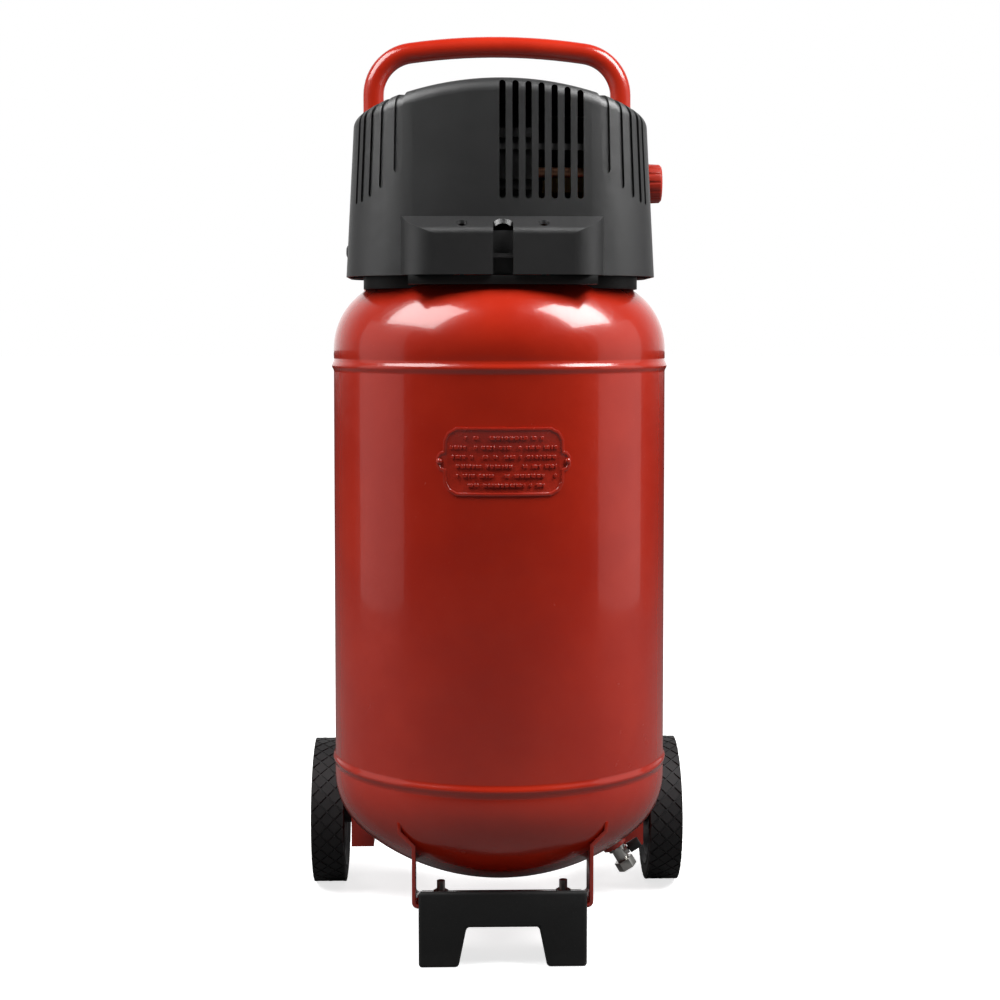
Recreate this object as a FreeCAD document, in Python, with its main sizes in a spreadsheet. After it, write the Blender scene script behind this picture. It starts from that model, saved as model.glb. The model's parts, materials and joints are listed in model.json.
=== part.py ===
"""Upright 50 litre air compressor: a welded steel tank on two wheels and a rubber foot, with an oil-free
direct-drive pump under a two-part plastic shroud.

Frame: +Z up, -Y is the front (the rubber foot), +Y is the rear (wheels and controls), the floor is z = 0
and the origin is the middle of the footprint. All sizes are millimetres. Lengths that can be set by
themselves are cells of the sheet "dims"; everything else is worked out from them.
"""

import FreeCAD, Part
import math
import os
import Sketcher

Vector = FreeCAD.Vector
doc = FreeCAD.newDocument("air_compressor")
sheet = doc.addObject("Spreadsheet::Sheet", "dims")


class Size:
    """A length that knows its value and its expression, so one line of code binds and computes."""

    def __init__(self, value, text):
        self.value = float(value)
        self.text = text

    def __float__(self):
        return self.value

    def __add__(self, other):
        return Size(self.value + float(other), f"({self.text} + {text_of(other)})")

    def __radd__(self, other):
        return Size(float(other) + self.value, f"({text_of(other)} + {self.text})")

    def __sub__(self, other):
        return Size(self.value - float(other), f"({self.text} - {text_of(other)})")

    def __rsub__(self, other):
        return Size(float(other) - self.value, f"({text_of(other)} - {self.text})")

    def __mul__(self, other):
        return Size(self.value * float(other), f"({self.text} * {text_of(other)})")

    def __rmul__(self, other):
        return Size(float(other) * self.value, f"({text_of(other)} * {self.text})")

    def __truediv__(self, other):
        return Size(self.value / float(other), f"({self.text} / {text_of(other)})")

    def __neg__(self):
        return Size(-self.value, f"(0 - {self.text})")

    def __lt__(self, other):
        return self.value < float(other)


def text_of(value):
    return value.text if isinstance(value, Size) else repr(float(value))


def root(value):
    return Size(math.sqrt(float(value)), f"sqrt({text_of(value)})")


def larger(first, second):
    return Size(max(float(first), float(second)), f"max({text_of(first)}; {text_of(second)})")


def cell(alias, value):
    """Writes one driving dimension into the sheet and returns it as a Size."""
    cell.row += 1
    sheet.set(f"A{cell.row}", alias)
    sheet.set(f"B{cell.row}", repr(float(value)))
    sheet.setAlias(f"B{cell.row}", alias)
    return Size(value, f"dims.{alias}")


cell.row = 0

# ---------------------------------------------------------------- driving dimensions
tank_r = cell("tank_radius", 169.0)
tank_wall = cell("tank_wall", 2.5)
seam_low = cell("lower_seam_height", 179.0)
seam_gap = cell("seam_spacing", 400.5)
skirt = cell("head_skirt", 17.0)
head_depth = cell("head_depth", 106.0)
knuckle = cell("head_knuckle_radius", 70.0)
bead_r = cell("seam_bead_radius", 10.0)

wheel_r = cell("wheel_radius", 79.0)
wheel_width = cell("wheel_width", 36.0)
wheel_x = cell("wheel_centre_offset", 184.0)
axle_back = cell("axle_behind_tank_axis", 158.0)
axle_r = cell("axle_bolt_radius", 6.0)
rim_r = cell("rim_radius", 56.0)
hub_r = cell("hub_radius", 15.0)
running = cell("running_clearance", 0.05)
free_gap = cell("free_gap", 1.0)

foot_front = cell("foot_front_reach", 140.0)
foot_deep = cell("foot_depth", 60.0)
foot_wide = cell("foot_width", 161.0)
foot_high = cell("foot_height", 74.0)
foot_arch_high = cell("foot_arch_height", 39.0)
foot_arch_top = cell("foot_arch_top_width", 70.0)
foot_arch_low = cell("foot_arch_base_width", 90.0)
foot_recess = cell("foot_recess_depth", 15.0)
foot_lip = cell("foot_lip_thickness", 7.0)
strap_thick = cell("strap_thickness", 3.5)
strap_wide = cell("strap_width", 46.0)
stud_gap = cell("foot_stud_spacing", 120.0)
stud_r = cell("foot_stud_radius", 4.0)

shroud_low = cell("shroud_bottom_height", 668.0)
shroud_high = cell("shroud_top_height", 858.0)
shroud_half = cell("shroud_half_width", 153.4)
shroud_front_y = cell("shroud_front_reach", 128.0)
shroud_rear_y = cell("shroud_rear_reach", 98.0)
shroud_wall = cell("shroud_wall", 3.0)
front_corner = cell("shroud_front_corner_radius", 78.0)
rear_corner = cell("shroud_rear_corner_radius", 55.0)
vault_r = cell("shroud_roof_radius", 320.0)
roof_round = cell("shroud_roof_edge_radius", 14.0)
draft = 3.0
bench_half = cell("bench_half_width", 97.0)
bench_out = cell("bench_reach", 20.0)
bench_high = cell("bench_front_height", 43.0)
bench_rise = cell("bench_slope_rise", 13.0)
bench_edge = cell("bench_edge_radius", 8.0)
bench_corner = cell("bench_corner_radius", 30.0)
notch_half = cell("bench_notch_half_width", 9.6)
slot_pitch = cell("vent_slot_pitch", 12.5)
slot_wide = cell("vent_slot_width", 6.1)

handle_half = cell("handle_half_width", 131.4)
handle_back = cell("handle_behind_tank_axis", 88.0)
handle_r = cell("handle_tube_radius", 11.0)
handle_wall = cell("handle_tube_wall", 1.8)
handle_high = cell("handle_bar_height", 915.7)
handle_bend = cell("handle_bend_radius", 45.0)
handle_arch = cell("handle_arch_radius", 650.0)

knob_r = cell("regulator_knob_radius", 20.5)
controls_y = cell("controls_behind_tank_axis", 44.0)
controls_z = cell("controls_height", 768.0)

shaft_y = cell("shaft_behind_tank_axis", 5.0)
shaft_z = cell("shaft_height", 776.0)
shaft_r = cell("shaft_radius", 7.5)
motor_r = cell("motor_radius", 48.0)
crank_throw = cell("crank_throw", 8.0)
rod_long = cell("connecting_rod_length", 48.0)
bore_r = cell("cylinder_bore_radius", 25.0)

doc.recompute()

# The tank's axis stands ahead of the origin, so that the origin is the middle of the footprint.
bead_proud = cell("seam_bead_proud", 2.0)
bench_reach = shroud_front_y + bench_out
front_reach = larger(tank_r + bead_proud, larger(bench_reach, foot_front))
rear_reach = axle_back + wheel_r
tank_y = (front_reach - rear_reach) / 2.0

seam_top = seam_low + seam_gap
low_line = seam_low - skirt
top_line = seam_top + skirt
dome_top = top_line + head_depth


# ---------------------------------------------------------------- helpers
def bind(obj, prop, value):
    """Sets a property, as an expression where the value is a Size."""
    if isinstance(value, Size):
        obj.setExpression(prop, value.text)
    else:
        setattr(obj, prop, value)


def place(obj, at, axis=None, turn=None):
    """Puts an object at a point given from the tank's axis, with its own +Z turned to axis."""
    x, y, z = at
    y = y + tank_y
    rotation = turn or FreeCAD.Rotation()
    if axis is not None:
        rotation = FreeCAD.Rotation(Vector(0, 0, 1), Vector(*axis))
    obj.Placement = FreeCAD.Placement(Vector(float(x), float(y), float(z)), rotation)
    for letter, value in (("x", x), ("y", y), ("z", z)):
        if isinstance(value, Size):
            obj.setExpression(f"Placement.Base.{letter}", value.text)
    return obj


def part(kind, name, at=(0, 0, 0), axis=None, turn=None, **sizes):
    """One Part primitive with its sizes bound."""
    obj = doc.addObject(f"Part::{kind}", name)
    for prop, value in sizes.items():
        bind(obj, prop, value)
    return place(obj, at, axis, turn)


def cylinder(name, radius, height, at=(0, 0, 0), axis=None):
    return part("Cylinder", name, at, axis, Radius=radius, Height=height)


def cone(name, low_radius, top_radius, height, at=(0, 0, 0), axis=None):
    return part("Cone", name, at, axis, Radius1=low_radius, Radius2=top_radius, Height=height)


def torus(name, major, minor, at=(0, 0, 0), axis=None):
    return part("Torus", name, at, axis, Radius1=major, Radius2=minor)


def sphere(name, radius, at=(0, 0, 0), turn=None):
    return part("Sphere", name, at, None, turn, Radius=radius)


def box(name, low, size, turn=None):
    return part("Box", name, low, None, turn, Length=size[0], Width=size[1], Height=size[2])


def hexagon(name, across, height, at=(0, 0, 0), axis=None):
    """A hexagonal prism of a given width across its flats."""
    return part("Prism", name, at, axis, Polygon=6, Circumradius=across / math.sqrt(3.0), Height=height)


def fuse(name, *shapes):
    obj = doc.addObject("Part::MultiFuse", name)
    obj.Shapes = list(shapes)
    obj.Refine = True
    return obj


def group(name, *shapes):
    """Separate solids that share one node."""
    obj = doc.addObject("Part::Compound", name)
    obj.Links = list(shapes)
    return obj


def cut(name, base, *tools):
    tool = tools[0]
    if len(tools) > 1:
        tool = doc.addObject("Part::MultiFuse", name + "_tools")
        tool.Shapes = list(tools)
    obj = doc.addObject("Part::Cut", name)
    obj.Base = base
    obj.Tool = tool
    obj.Refine = True
    return obj


def common(name, *shapes):
    obj = doc.addObject("Part::MultiCommon", name)
    obj.Shapes = list(shapes)
    return obj


def ring(name, outer, inner, height, at=(0, 0, 0), axis=None):
    """A plain tube or washer."""
    x, y, z = at
    step = Vector(*(axis or (0, 0, 1))).normalize()
    low = (x - step.x, y - step.y, z - step.z)
    return cut(
        name,
        cylinder(name + "_outer", outer, height, at, axis),
        cylinder(name + "_bore", inner, height + 2.0, low, axis),
    )


def arc_of(start, end, radius):
    """The short arc from start to end: to the left (anticlockwise) for a positive radius."""
    chord = end - start
    reach = math.sqrt(max(radius * radius - chord.Length**2 / 4.0, 0.0))
    left = Vector(-chord.y, chord.x, 0).normalize()
    centre = (start + end) / 2.0 + left * (reach if radius > 0 else -reach)
    first, last = (start, end) if radius > 0 else (end, start)
    angles = [math.atan2(p.y - centre.y, p.x - centre.x) for p in (first, last)]
    circle = Part.Circle(centre, Vector(0, 0, 1), abs(radius))
    return Part.ArcOfCircle(circle, *angles)


def draw(sketch, points):
    """A closed outline: each point is (x, y), or (x, y, radius) where an arc leads to the next point."""
    spots = [Vector(float(p[0]), float(p[1]), 0) for p in points]
    ends = []
    for i, p in enumerate(points):
        start, end = spots[i], spots[(i + 1) % len(points)]
        if len(p) == 3:
            sketch.addGeometry(arc_of(start, end, float(p[2])), False)
            ends.append((1, 2) if float(p[2]) > 0 else (2, 1))
        else:
            sketch.addGeometry(Part.LineSegment(start, end), False)
            ends.append((1, 2))
    for i, p in enumerate(points):
        following = (i + 1) % len(points)
        link = Sketcher.Constraint("Coincident", i, ends[i][1], following, ends[following][0])
        sketch.addConstraint(link)
        for kind, value, line in (("DistanceX", p[0], -2), ("DistanceY", p[1], -1)):
            if float(value) == 0.0:
                sketch.addConstraint(Sketcher.Constraint("PointOnObject", i, ends[i][0], line))
                continue
            limit = Sketcher.Constraint(kind, -1, 1, i, ends[i][0], float(value))
            number = sketch.addConstraint(limit)
            if isinstance(value, Size):
                sketch.setExpression(f"Constraints[{number}]", value.text)
        if len(p) == 3:
            number = sketch.addConstraint(Sketcher.Constraint("Radius", i, abs(float(p[2]))))
            if isinstance(p[2], Size):
                sign = "" if float(p[2]) > 0 else "0 - "
                sketch.setExpression(f"Constraints[{number}]", sign + p[2].text)


def body_sketch(name, points, plane):
    body = doc.addObject("PartDesign::Body", name)
    sketch = body.newObject("Sketcher::SketchObject", name + "_outline")
    flat = [f for f in body.Origin.OriginFeatures if f.Role == plane][0]
    sketch.AttachmentSupport = (flat, [""])
    sketch.MapMode = "FlatFace"
    draw(sketch, points)
    return body, sketch


def turned(name, points, at=(0, 0, 0), axis=None):
    """A turned body: the outline's x is the radius and its y runs along the axis."""
    body, sketch = body_sketch(name, points, "XZ_Plane")
    feature = body.newObject("PartDesign::Revolution", name + "_turn")
    feature.Profile = (sketch, [""])
    feature.ReferenceAxis = (sketch, ["V_Axis"])
    feature.Angle = 360
    return place(body, at, axis)


def padded(name, points, length, at=(0, 0, 0), turn=None, plane="XY_Plane"):
    """A padded body. On XZ_Plane the pad runs both ways from the sketch."""
    body, sketch = body_sketch(name, points, plane)
    feature = body.newObject("PartDesign::Pad", name + "_pad")
    feature.Profile = (sketch, [""])
    bind(feature, "Length", length)
    feature.Midplane = plane != "XY_Plane"
    return place(body, at, None, turn)


def plain_shape(name, shape):
    """A sub-part whose form neither the primitives nor the bodies give, such as a bent tube."""
    obj = doc.addObject("Part::Feature", name)
    obj.Shape = shape
    return place(obj, (0, 0, 0))


def bent_wire(points, radii):
    """Straight runs through the points, joined by tangent arcs."""
    spots = [Vector(*[float(c) for c in p]) for p in points]
    edges, last = [], spots[0]
    for i, radius in enumerate(radii, start=1):
        before = (spots[i - 1] - spots[i]).normalize()
        after = (spots[i + 1] - spots[i]).normalize()
        half = before.getAngle(after) / 2.0
        back = float(radius) / math.tan(half)
        start, end = spots[i] + before * back, spots[i] + after * back
        centre = spots[i] + (before + after).normalize() * (float(radius) / math.sin(half))
        middle = centre + (spots[i] - centre).normalize() * float(radius)
        if (start - last).Length > 1e-6:
            edges.append(Part.LineSegment(last, start).toShape())
        edges.append(Part.Arc(start, middle, end).toShape())
        last = end
    if (spots[-1] - last).Length > 1e-6:
        edges.append(Part.LineSegment(last, spots[-1]).toShape())
    return Part.Wire(edges)


def swept(wire, radius):
    """A round bar along a wire."""
    start = wire.Edges[0]
    point, tangent = start.valueAt(start.FirstParameter), start.tangentAt(start.FirstParameter)
    circle = Part.Wire(Part.makeCircle(float(radius), point, tangent))
    return wire.makePipeShell([circle], True, False)


# ---------------------------------------------------------------- tank
plate_z = cell("rating_plate_height", 492.0)
plate_half = cell("rating_plate_half_width", 59.0)
plate_high = cell("rating_plate_size_up", 64.5)
plate_thick = cell("rating_plate_thickness", 1.8)
drain_tilt = 31.0
drain_bore = cell("drain_bore_radius", 4.0)
bung_r = cell("drain_bung_radius", 13.0)

bead_reach = root(bead_proud * (2.0 * bead_r - bead_proud))
inner_r = tank_r - tank_wall
knuckle_x = tank_r - knuckle
crown_r = (head_depth * head_depth + knuckle_x * knuckle_x - knuckle * knuckle) / (2.0 * (head_depth - knuckle))
crown_back = crown_r - head_depth
spread = crown_r / (crown_r - knuckle)


def head_outline():
    """The outside of a torispherical head, from its bead up to the middle of its crown."""
    rise = skirt + crown_back * (knuckle / (crown_r - knuckle))
    return [
        (tank_r, -bead_reach, bead_r),
        (tank_r, bead_reach),
        (tank_r, skirt, knuckle),
        (knuckle_x * spread, rise, crown_r),
        (0, skirt + head_depth),
    ]


def head_inside():
    ratio = (crown_r - tank_wall) / (crown_r - knuckle)
    return [
        (0, skirt + head_depth - tank_wall, -(crown_r - tank_wall)),
        (knuckle_x * ratio, skirt - crown_back + crown_back * ratio, -(knuckle - tank_wall)),
        (inner_r, skirt),
        (inner_r, -bead_reach),
    ]


top_form = turned("top_form", head_outline() + [(0, -bead_reach)], (0, 0, seam_top))
low_form = turned("low_form", head_outline() + [(0, -bead_reach)], (0, 0, seam_low), (0, 0, -1))
tank_form = fuse(
    "tank_form", top_form, low_form, cylinder("tank_core", tank_r, seam_gap, (0, 0, seam_low))
)
top_crown_z = top_line - crown_back
low_crown_z = low_line + crown_back
# Each sphere is turned so that its seam lies clear of what it cuts.
top_crown = sphere(
    "top_crown", crown_r, (0, 0, top_crown_z), FreeCAD.Rotation(Vector(0, 1, 0), 90.0)
)
low_crown = sphere(
    "low_crown", crown_r, (0, 0, low_crown_z), FreeCAD.Rotation(Vector(0, 0, 1), 90.0)
)

lean = math.radians(drain_tilt)
drain_axis = (math.sin(lean), 0.0, -math.cos(lean))
drain_side = (math.cos(lean), 0.0, math.sin(lean))


def drain_at(along, aside=0.0):
    """A point on the drain's axis, measured outwards from the skin of the bottom head."""
    reach = crown_r + along
    return (
        reach * drain_axis[0] + aside * drain_side[0],
        0,
        low_crown_z + reach * drain_axis[2] + aside * drain_side[2],
    )


def make_tank():
    tank_shell = ring(
        "tank_shell", tank_r, inner_r, seam_gap - 2.0 * bead_reach, (0, 0, seam_low + bead_reach)
    )
    top_full = turned("top_full", head_outline() + head_inside(), (0, 0, seam_top))
    low_full = turned("low_full", head_outline() + head_inside(), (0, 0, seam_low), (0, 0, -1))
    ports = [
        cylinder(f"{name}_hole", port_bore, 40.0, (x, y, dome_top - 60.0))
        for name, (x, y) in (("riser", riser_spot), ("check", check_spot))
    ]
    top_head = cut("top_head", top_full, *ports)
    drain_hole = cylinder("drain_hole", drain_bore, 30.0, drain_at(-15.0), drain_axis)
    bottom_head = cut("bottom_head", low_full, drain_hole)

    boss = turned(
        "bung_form",
        [(drain_bore, -8.0), (bung_r + 5.0, -8.0), (bung_r + 5.0, 0.5), (bung_r, 4.0),
         (bung_r, 10.0), (drain_bore, 10.0)],
        drain_at(0.0), drain_axis,
    )
    drain_bung = cut("drain_bung", boss, low_crown)

    outline = padded(
        "plate_outline",
        [(-40, -plate_high / 2.0), (40, -plate_high / 2.0, plate_high / 2.0 + 10.0),
         (plate_half + 5.5, -7), (plate_half + 5.5, 7, plate_high / 2.0 + 10.0),
         (40, plate_high / 2.0), (-40, plate_high / 2.0, plate_high / 2.0 + 10.0),
         (-plate_half - 5.5, 7), (-plate_half - 5.5, -7, plate_high / 2.0 + 10.0)],
        40.0, (0, -tank_r, plate_z), plane="XZ_Plane",
    )
    band = ring("plate_band", tank_r + plate_thick, tank_r, 90.0, (0, 0, plate_z - 45.0))
    sheet_metal = common("plate_sheet", band, outline)

    rivets = []
    for side in (-1, 1):
        turn = math.radians(19.8) * side
        aim = (math.sin(turn), -math.cos(turn), 0.0)
        reach = tank_r + plate_thick
        spot = (reach * aim[0], reach * aim[1], plate_z)
        rivets.append(turned(f"rivet_{side + 1}", [(0, 0), (2.6, 0), (2.6, 0.5), (1.4, 1.5), (0, 1.5)], spot, aim))
    return [tank_shell, top_head, bottom_head, drain_bung, group("rating_plate", sheet_metal, *rivets)]


riser_spot = (54.0, controls_y)
check_spot = (94.0, -60.0)
port_bore = cell("tank_port_bore_radius", 4.0)


def make_drain():
    flange = bung_r - 4.0
    body = turned(
        "drain_body_form",
        [(drain_bore, 10.0), (flange, 10.0), (flange, 14.0), (6.5, 14.0), (6.5, 26.0),
         (5.2, 26.0), (5.2, 34.0), (drain_bore, 34.0)],
        drain_at(0.0), drain_axis,
    )
    neck = cylinder("drain_neck", 4.5, 5.0, drain_at(19.5, 5.0), drain_side)
    bore = cylinder("drain_body_bore", drain_bore, 30.0, drain_at(8.0), drain_axis)
    spindle_hole = cylinder("spindle_hole", 2.0 + running, 10.0, drain_at(19.5, 4.6), drain_side)
    cock = cut("drain_cock", fuse("drain_solid", body, neck), bore, spindle_hole)
    nut_form = hexagon("drain_nut_form", 18.0, 10.0, drain_at(26.5), drain_axis)
    nut = cut("drain_nut", nut_form, cylinder("drain_nut_bore", 5.2, 14.0, drain_at(24.5), drain_axis))
    spindle = cylinder("drain_spindle", 2.0, 10.0, drain_at(19.5, 5.2), drain_side)
    grip = cylinder("drain_grip", 5.5, 13.0, drain_at(19.5, 10.8), drain_side)
    return [group("drain_valve_body", cock, nut), fuse("drain_knob", spindle, grip)]


# ---------------------------------------------------------------- rubber foot, strap and wheels
foot_y = -foot_front
strap_y = foot_y + foot_lip + free_gap
strap_base = foot_high - foot_recess - 3.0
strap_half = foot_wide / 2.0 + 4.0
bolt_gap = cell("bolt_hole_clearance", 0.4)


def make_foot():
    low_half = foot_wide / 2.0 + 1.0
    block = padded(
        "foot_block",
        [(-low_half, 0), (-foot_arch_low / 2.0, 0), (-foot_arch_top / 2.0, foot_arch_high),
         (foot_arch_top / 2.0, foot_arch_high), (foot_arch_low / 2.0, 0), (low_half, 0),
         (foot_wide / 2.0, foot_high), (-foot_wide / 2.0, foot_high)],
        foot_deep, (0, foot_y + foot_deep / 2.0, 0), plane="XZ_Plane",
    )
    recess = box(
        "foot_recess", (-foot_wide, foot_y + foot_lip, strap_base),
        (foot_wide * 2.0, foot_deep, foot_high),
    )
    stud_y = strap_y + strap_wide / 2.0
    holes, wells, bolts, nuts = [], [], [], []
    for side in (-1, 1):
        x = stud_gap * (side / 2.0)
        name = "left" if side < 0 else "right"
        holes.append(cylinder(f"foot_hole_{name}", stud_r + bolt_gap, foot_high * 2.0, (x, stud_y, -5.0)))
        wells.append(cylinder(f"foot_well_{name}", 10.0, 32.0, (x, stud_y, -5.0)))
        head = hexagon(f"foot_head_{name}", 13.0, 5.0, (x, stud_y, 22.0))
        shank = cylinder(f"foot_shank_{name}", stud_r, strap_base + 21.0 - 27.0, (x, stud_y, 27.0))
        bolts.append(fuse(f"foot_bolt_{name}", head, shank))
        nut = hexagon(f"foot_nut_form_{name}", 13.0, 6.5, (x, stud_y, strap_base + strap_thick + 1.6))
        washer = cylinder(f"foot_washer_{name}", 8.0, 1.6, (x, stud_y, strap_base + strap_thick))
        hole = cylinder(f"foot_nut_bore_{name}", stud_r, 12.0, (x, stud_y, strap_base))
        nuts.append(cut(f"foot_nut_{name}", fuse(f"foot_nut_set_{name}", nut, washer), hole))
    rubber_foot = cut("rubber_foot", block, recess, *holes, *wells)

    inside = strap_half
    outside = strap_half + strap_thick
    low = strap_base
    high = strap_base + strap_thick
    bend = 6.0
    flare = cell("strap_flare", 14.0)
    knee = low + 60.0
    tall = knee + flare + 10.0
    strap = padded(
        "strap_form",
        [(-outside, low + bend, bend), (-outside + bend, low), (outside - bend, low, bend),
         (outside, low + bend), (outside, knee), (outside + flare, knee + flare),
         (outside + flare, tall), (inside + flare, tall), (inside + flare, knee + flare + 1.5),
         (inside, knee + 1.5), (inside, high + 3.0, -3.0), (inside - 3.0, high),
         (3.0 - inside, high, -3.0), (-inside, high + 3.0), (-inside, knee + 1.5),
         (-inside - flare, knee + flare + 1.5), (-inside - flare, tall), (-outside - flare, tall),
         (-outside - flare, knee + flare), (-outside, knee)],
        strap_wide, (0, strap_y + strap_wide / 2.0, 0), plane="XZ_Plane",
    )
    foot_bracket = cut("foot_bracket", strap, tank_form, *holes)
    return [rubber_foot, foot_bracket], bolts + nuts


hub_gap = cell("wheel_side_gap", 1.0)
bracket_in = cell("wheel_bracket_inner_face", 133.0)
bracket_wide = cell("wheel_bracket_width", 24.0)
bracket_sheet = cell("wheel_bracket_sheet", 3.0)
bracket_front = cell("wheel_bracket_front", 68.0)
bracket_low = cell("wheel_bracket_bottom", 61.0)
bracket_out = bracket_in + bracket_wide
wheel_in = wheel_x - wheel_width / 2.0
wheel_out = wheel_x + wheel_width / 2.0
boss_in = bracket_out + hub_gap
boss_out = wheel_x + 4.0


def make_wheel(name, side):
    """One wheel: a ribbed hub and its tyre, turned about x, and the bracket that carries it."""
    away = (side, 0, 0)
    centre = (0, axle_back, wheel_r)
    start = wheel_in
    tyre = turned(
        f"tyre_{name}",
        [(rim_r, start + 3.0), (wheel_r - 9.0, start), (wheel_r - 3.0, start + 2.0, 14.0),
         (wheel_r, start + 9.0), (wheel_r, wheel_out - 9.0, 14.0), (wheel_r - 3.0, wheel_out - 2.0),
         (wheel_r - 9.0, wheel_out), (rim_r, wheel_out - 3.0)],
        centre, away,
    )
    rim_thick = 5.0
    web = wheel_x - 3.0
    disc = turned(
        f"hub_disc_{name}",
        [(axle_r + running, boss_in), (hub_r, boss_in), (hub_r, web), (rim_r - rim_thick, web),
         (rim_r - rim_thick, start + 3.0), (rim_r, start + 3.0), (rim_r, wheel_out - 3.0),
         (rim_r - rim_thick, wheel_out - 3.0), (rim_r - rim_thick, web + 4.0), (hub_r, web + 4.0),
         (hub_r, boss_out), (axle_r + running, boss_out)],
        centre, away,
    )
    ribs = []
    count = 6
    for i in range(count):
        angle = 360.0 * i / count
        turn = FreeCAD.Rotation(Vector(1, 0, 0), angle)
        corner = turn.multVec(Vector(0, -2.0, 0))
        low = start + 6.0 if side > 0 else -(wheel_out - 5.0)
        ribs.append(box(
            f"rib_{name}_{i}",
            (low, axle_back + corner.y, wheel_r + corner.z),
            (wheel_width - 11.0, 4.0, rim_r - rim_thick / 2.0), turn,
        ))
    hollow = cylinder(f"rib_clear_{name}", hub_r - 3.0, wheel_width * 2.0, (side * (wheel_in - wheel_width / 2.0), axle_back, wheel_r), away)
    washer_room = cylinder(f"washer_room_{name}", hub_r + 3.0, wheel_width, (side * boss_out, axle_back, wheel_r), away)
    spokes = cut(f"hub_ribs_{name}", fuse(f"hub_rib_set_{name}", *ribs), hollow, washer_room)
    holes = []
    for i in range(count):
        angle = math.radians(60.0 * i + 30.0)
        spot = (side * wheel_in, axle_back + 33.0 * math.cos(angle), wheel_r + 33.0 * math.sin(angle))
        holes.append(cylinder(f"hub_hole_{name}_{i}", 9.0, wheel_width, spot, away))
    hub = cut(f"wheel_hub_{name}", fuse(f"hub_solid_{name}", disc, spokes), *holes)

    low_x = bracket_in if side > 0 else -bracket_out
    back = axle_back + 16.0
    cheek = padded(
        f"bracket_form_{name}",
        [(bracket_front, bracket_low), (back - 14.0, bracket_low, 14.0), (back, bracket_low + 14.0),
         (back, wheel_r + 10.0, 14.0), (back - 14.0, wheel_r + 24.0), (bracket_front + 30.0, tank_r),
         (bracket_front, tank_r)],
        bracket_wide, (low_x + bracket_wide / 2.0, 0, 0), plane="YZ_Plane",
    )
    pocket = box(
        f"bracket_pocket_{name}",
        (low_x + bracket_sheet, bracket_front + bracket_sheet, bracket_low - 1.0),
        (bracket_wide - bracket_sheet * 2.0, axle_back, tank_r),
    )
    hole = cylinder(f"bracket_hole_{name}", axle_r + bolt_gap, bracket_wide * 2.0, (side * (bracket_in - 10.0), axle_back, wheel_r), away)
    bracket = cut(f"wheel_bracket_{name}", cheek, pocket, tank_form, hole)
    return hub, tyre, bracket


def make_axle(name, side):
    away = (side, 0, 0)
    y, z = axle_back, wheel_r
    nut_thick = 9.0
    start = side * (bracket_in - nut_thick - 4.0)
    shank = cylinder(name + "_shank", axle_r, boss_out + 2.0 - (bracket_in - nut_thick - 4.0), (start, y, z), away)
    washer = cylinder(name + "_washer", hub_r - 1.0, 2.0, (side * (boss_out + hub_gap), y, z), away)
    head = hexagon(name + "_head", 19.0, 7.0, (side * (boss_out + hub_gap + 2.0), y, z), away)
    bolt = fuse(name + "_bolt", shank, washer, head)
    nut = cut(
        name + "_nut",
        hexagon(name + "_nut_form", 19.0, nut_thick, (side * (bracket_in - nut_thick), y, z), away),
        cylinder(name + "_nut_bore", axle_r, 20.0, (side * (bracket_in - nut_thick - 5.0), y, z), away),
    )
    return [bolt, nut]


# ---------------------------------------------------------------- handle
def make_handle():
    """A bent tube: two legs welded to the top head, two corners and a slightly arched bar."""
    half, bend, arch, high = (float(v) for v in (handle_half, handle_bend, handle_arch, handle_high))
    y = float(handle_back)
    arch_z = high - arch
    corner_x = half - bend
    reach = arch - bend
    corner_z = arch_z + math.sqrt(reach**2 - corner_x**2)
    join = Vector(corner_x, 0, corner_z - arch_z) * (arch / reach) + Vector(0, y, arch_z)
    away = Vector(1, 0, 0) + Vector(corner_x / reach, 0, (corner_z - arch_z) / reach)
    middle = Vector(corner_x, y, corner_z) + away.normalize() * bend
    foot_z = float(top_line) + 4.0
    mirror = lambda p: Vector(-p.x, p.y, p.z)
    right = Vector(half, y, corner_z)
    edges = [
        Part.LineSegment(Vector(-half, y, foot_z), mirror(right)).toShape(),
        Part.Arc(mirror(right), mirror(middle), mirror(join)).toShape(),
        Part.Arc(mirror(join), Vector(0, y, high), join).toShape(),
        Part.Arc(join, middle, right).toShape(),
        Part.LineSegment(right, Vector(half, y, foot_z)).toShape(),
    ]
    wire = Part.Wire(edges)
    tube = swept(wire, handle_r).cut(swept(wire, handle_r - handle_wall))
    return [cut("handle", plain_shape("handle_tube", tube), tank_form)]


# ---------------------------------------------------------------- shroud
x_axis = (1, 0, 0)
crown_front = cell("shroud_front_crown_radius", 600.0)
split_y = cell("shroud_split_behind_tank_axis", 20.0)
seam_width = cell("shroud_seam_gap", 0.6)
leg_gap = cell("handle_leg_gap", 2.2)
slot_low = cell("vent_slot_bottom_height", 741.0)
groove_deep = cell("groove_depth", 2.0)
slot_bridge = cell("vent_slot_bridge", 3.4)
groove_widths = (8.8, 6.2, 5.2, 4.6, 4.2)
bench_screw_x = cell("bench_screw_offset", 39.0)
side_screw_z = cell("side_screw_height", 695.0)
gland_x = cell("cable_gland_offset", -60.0)
button_x = cell("reset_button_offset", -20.0)
low_ports_z = cell("rear_ports_height", 706.0)
gauge_xs = (46.0, 92.0)
gauge_r = cell("gauge_radius", 20.0)
switch_x, switch_z = 75.0, 809.0
safety_z = 728.0
coupler_x, coupler_z = 90.0, 726.0


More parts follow.
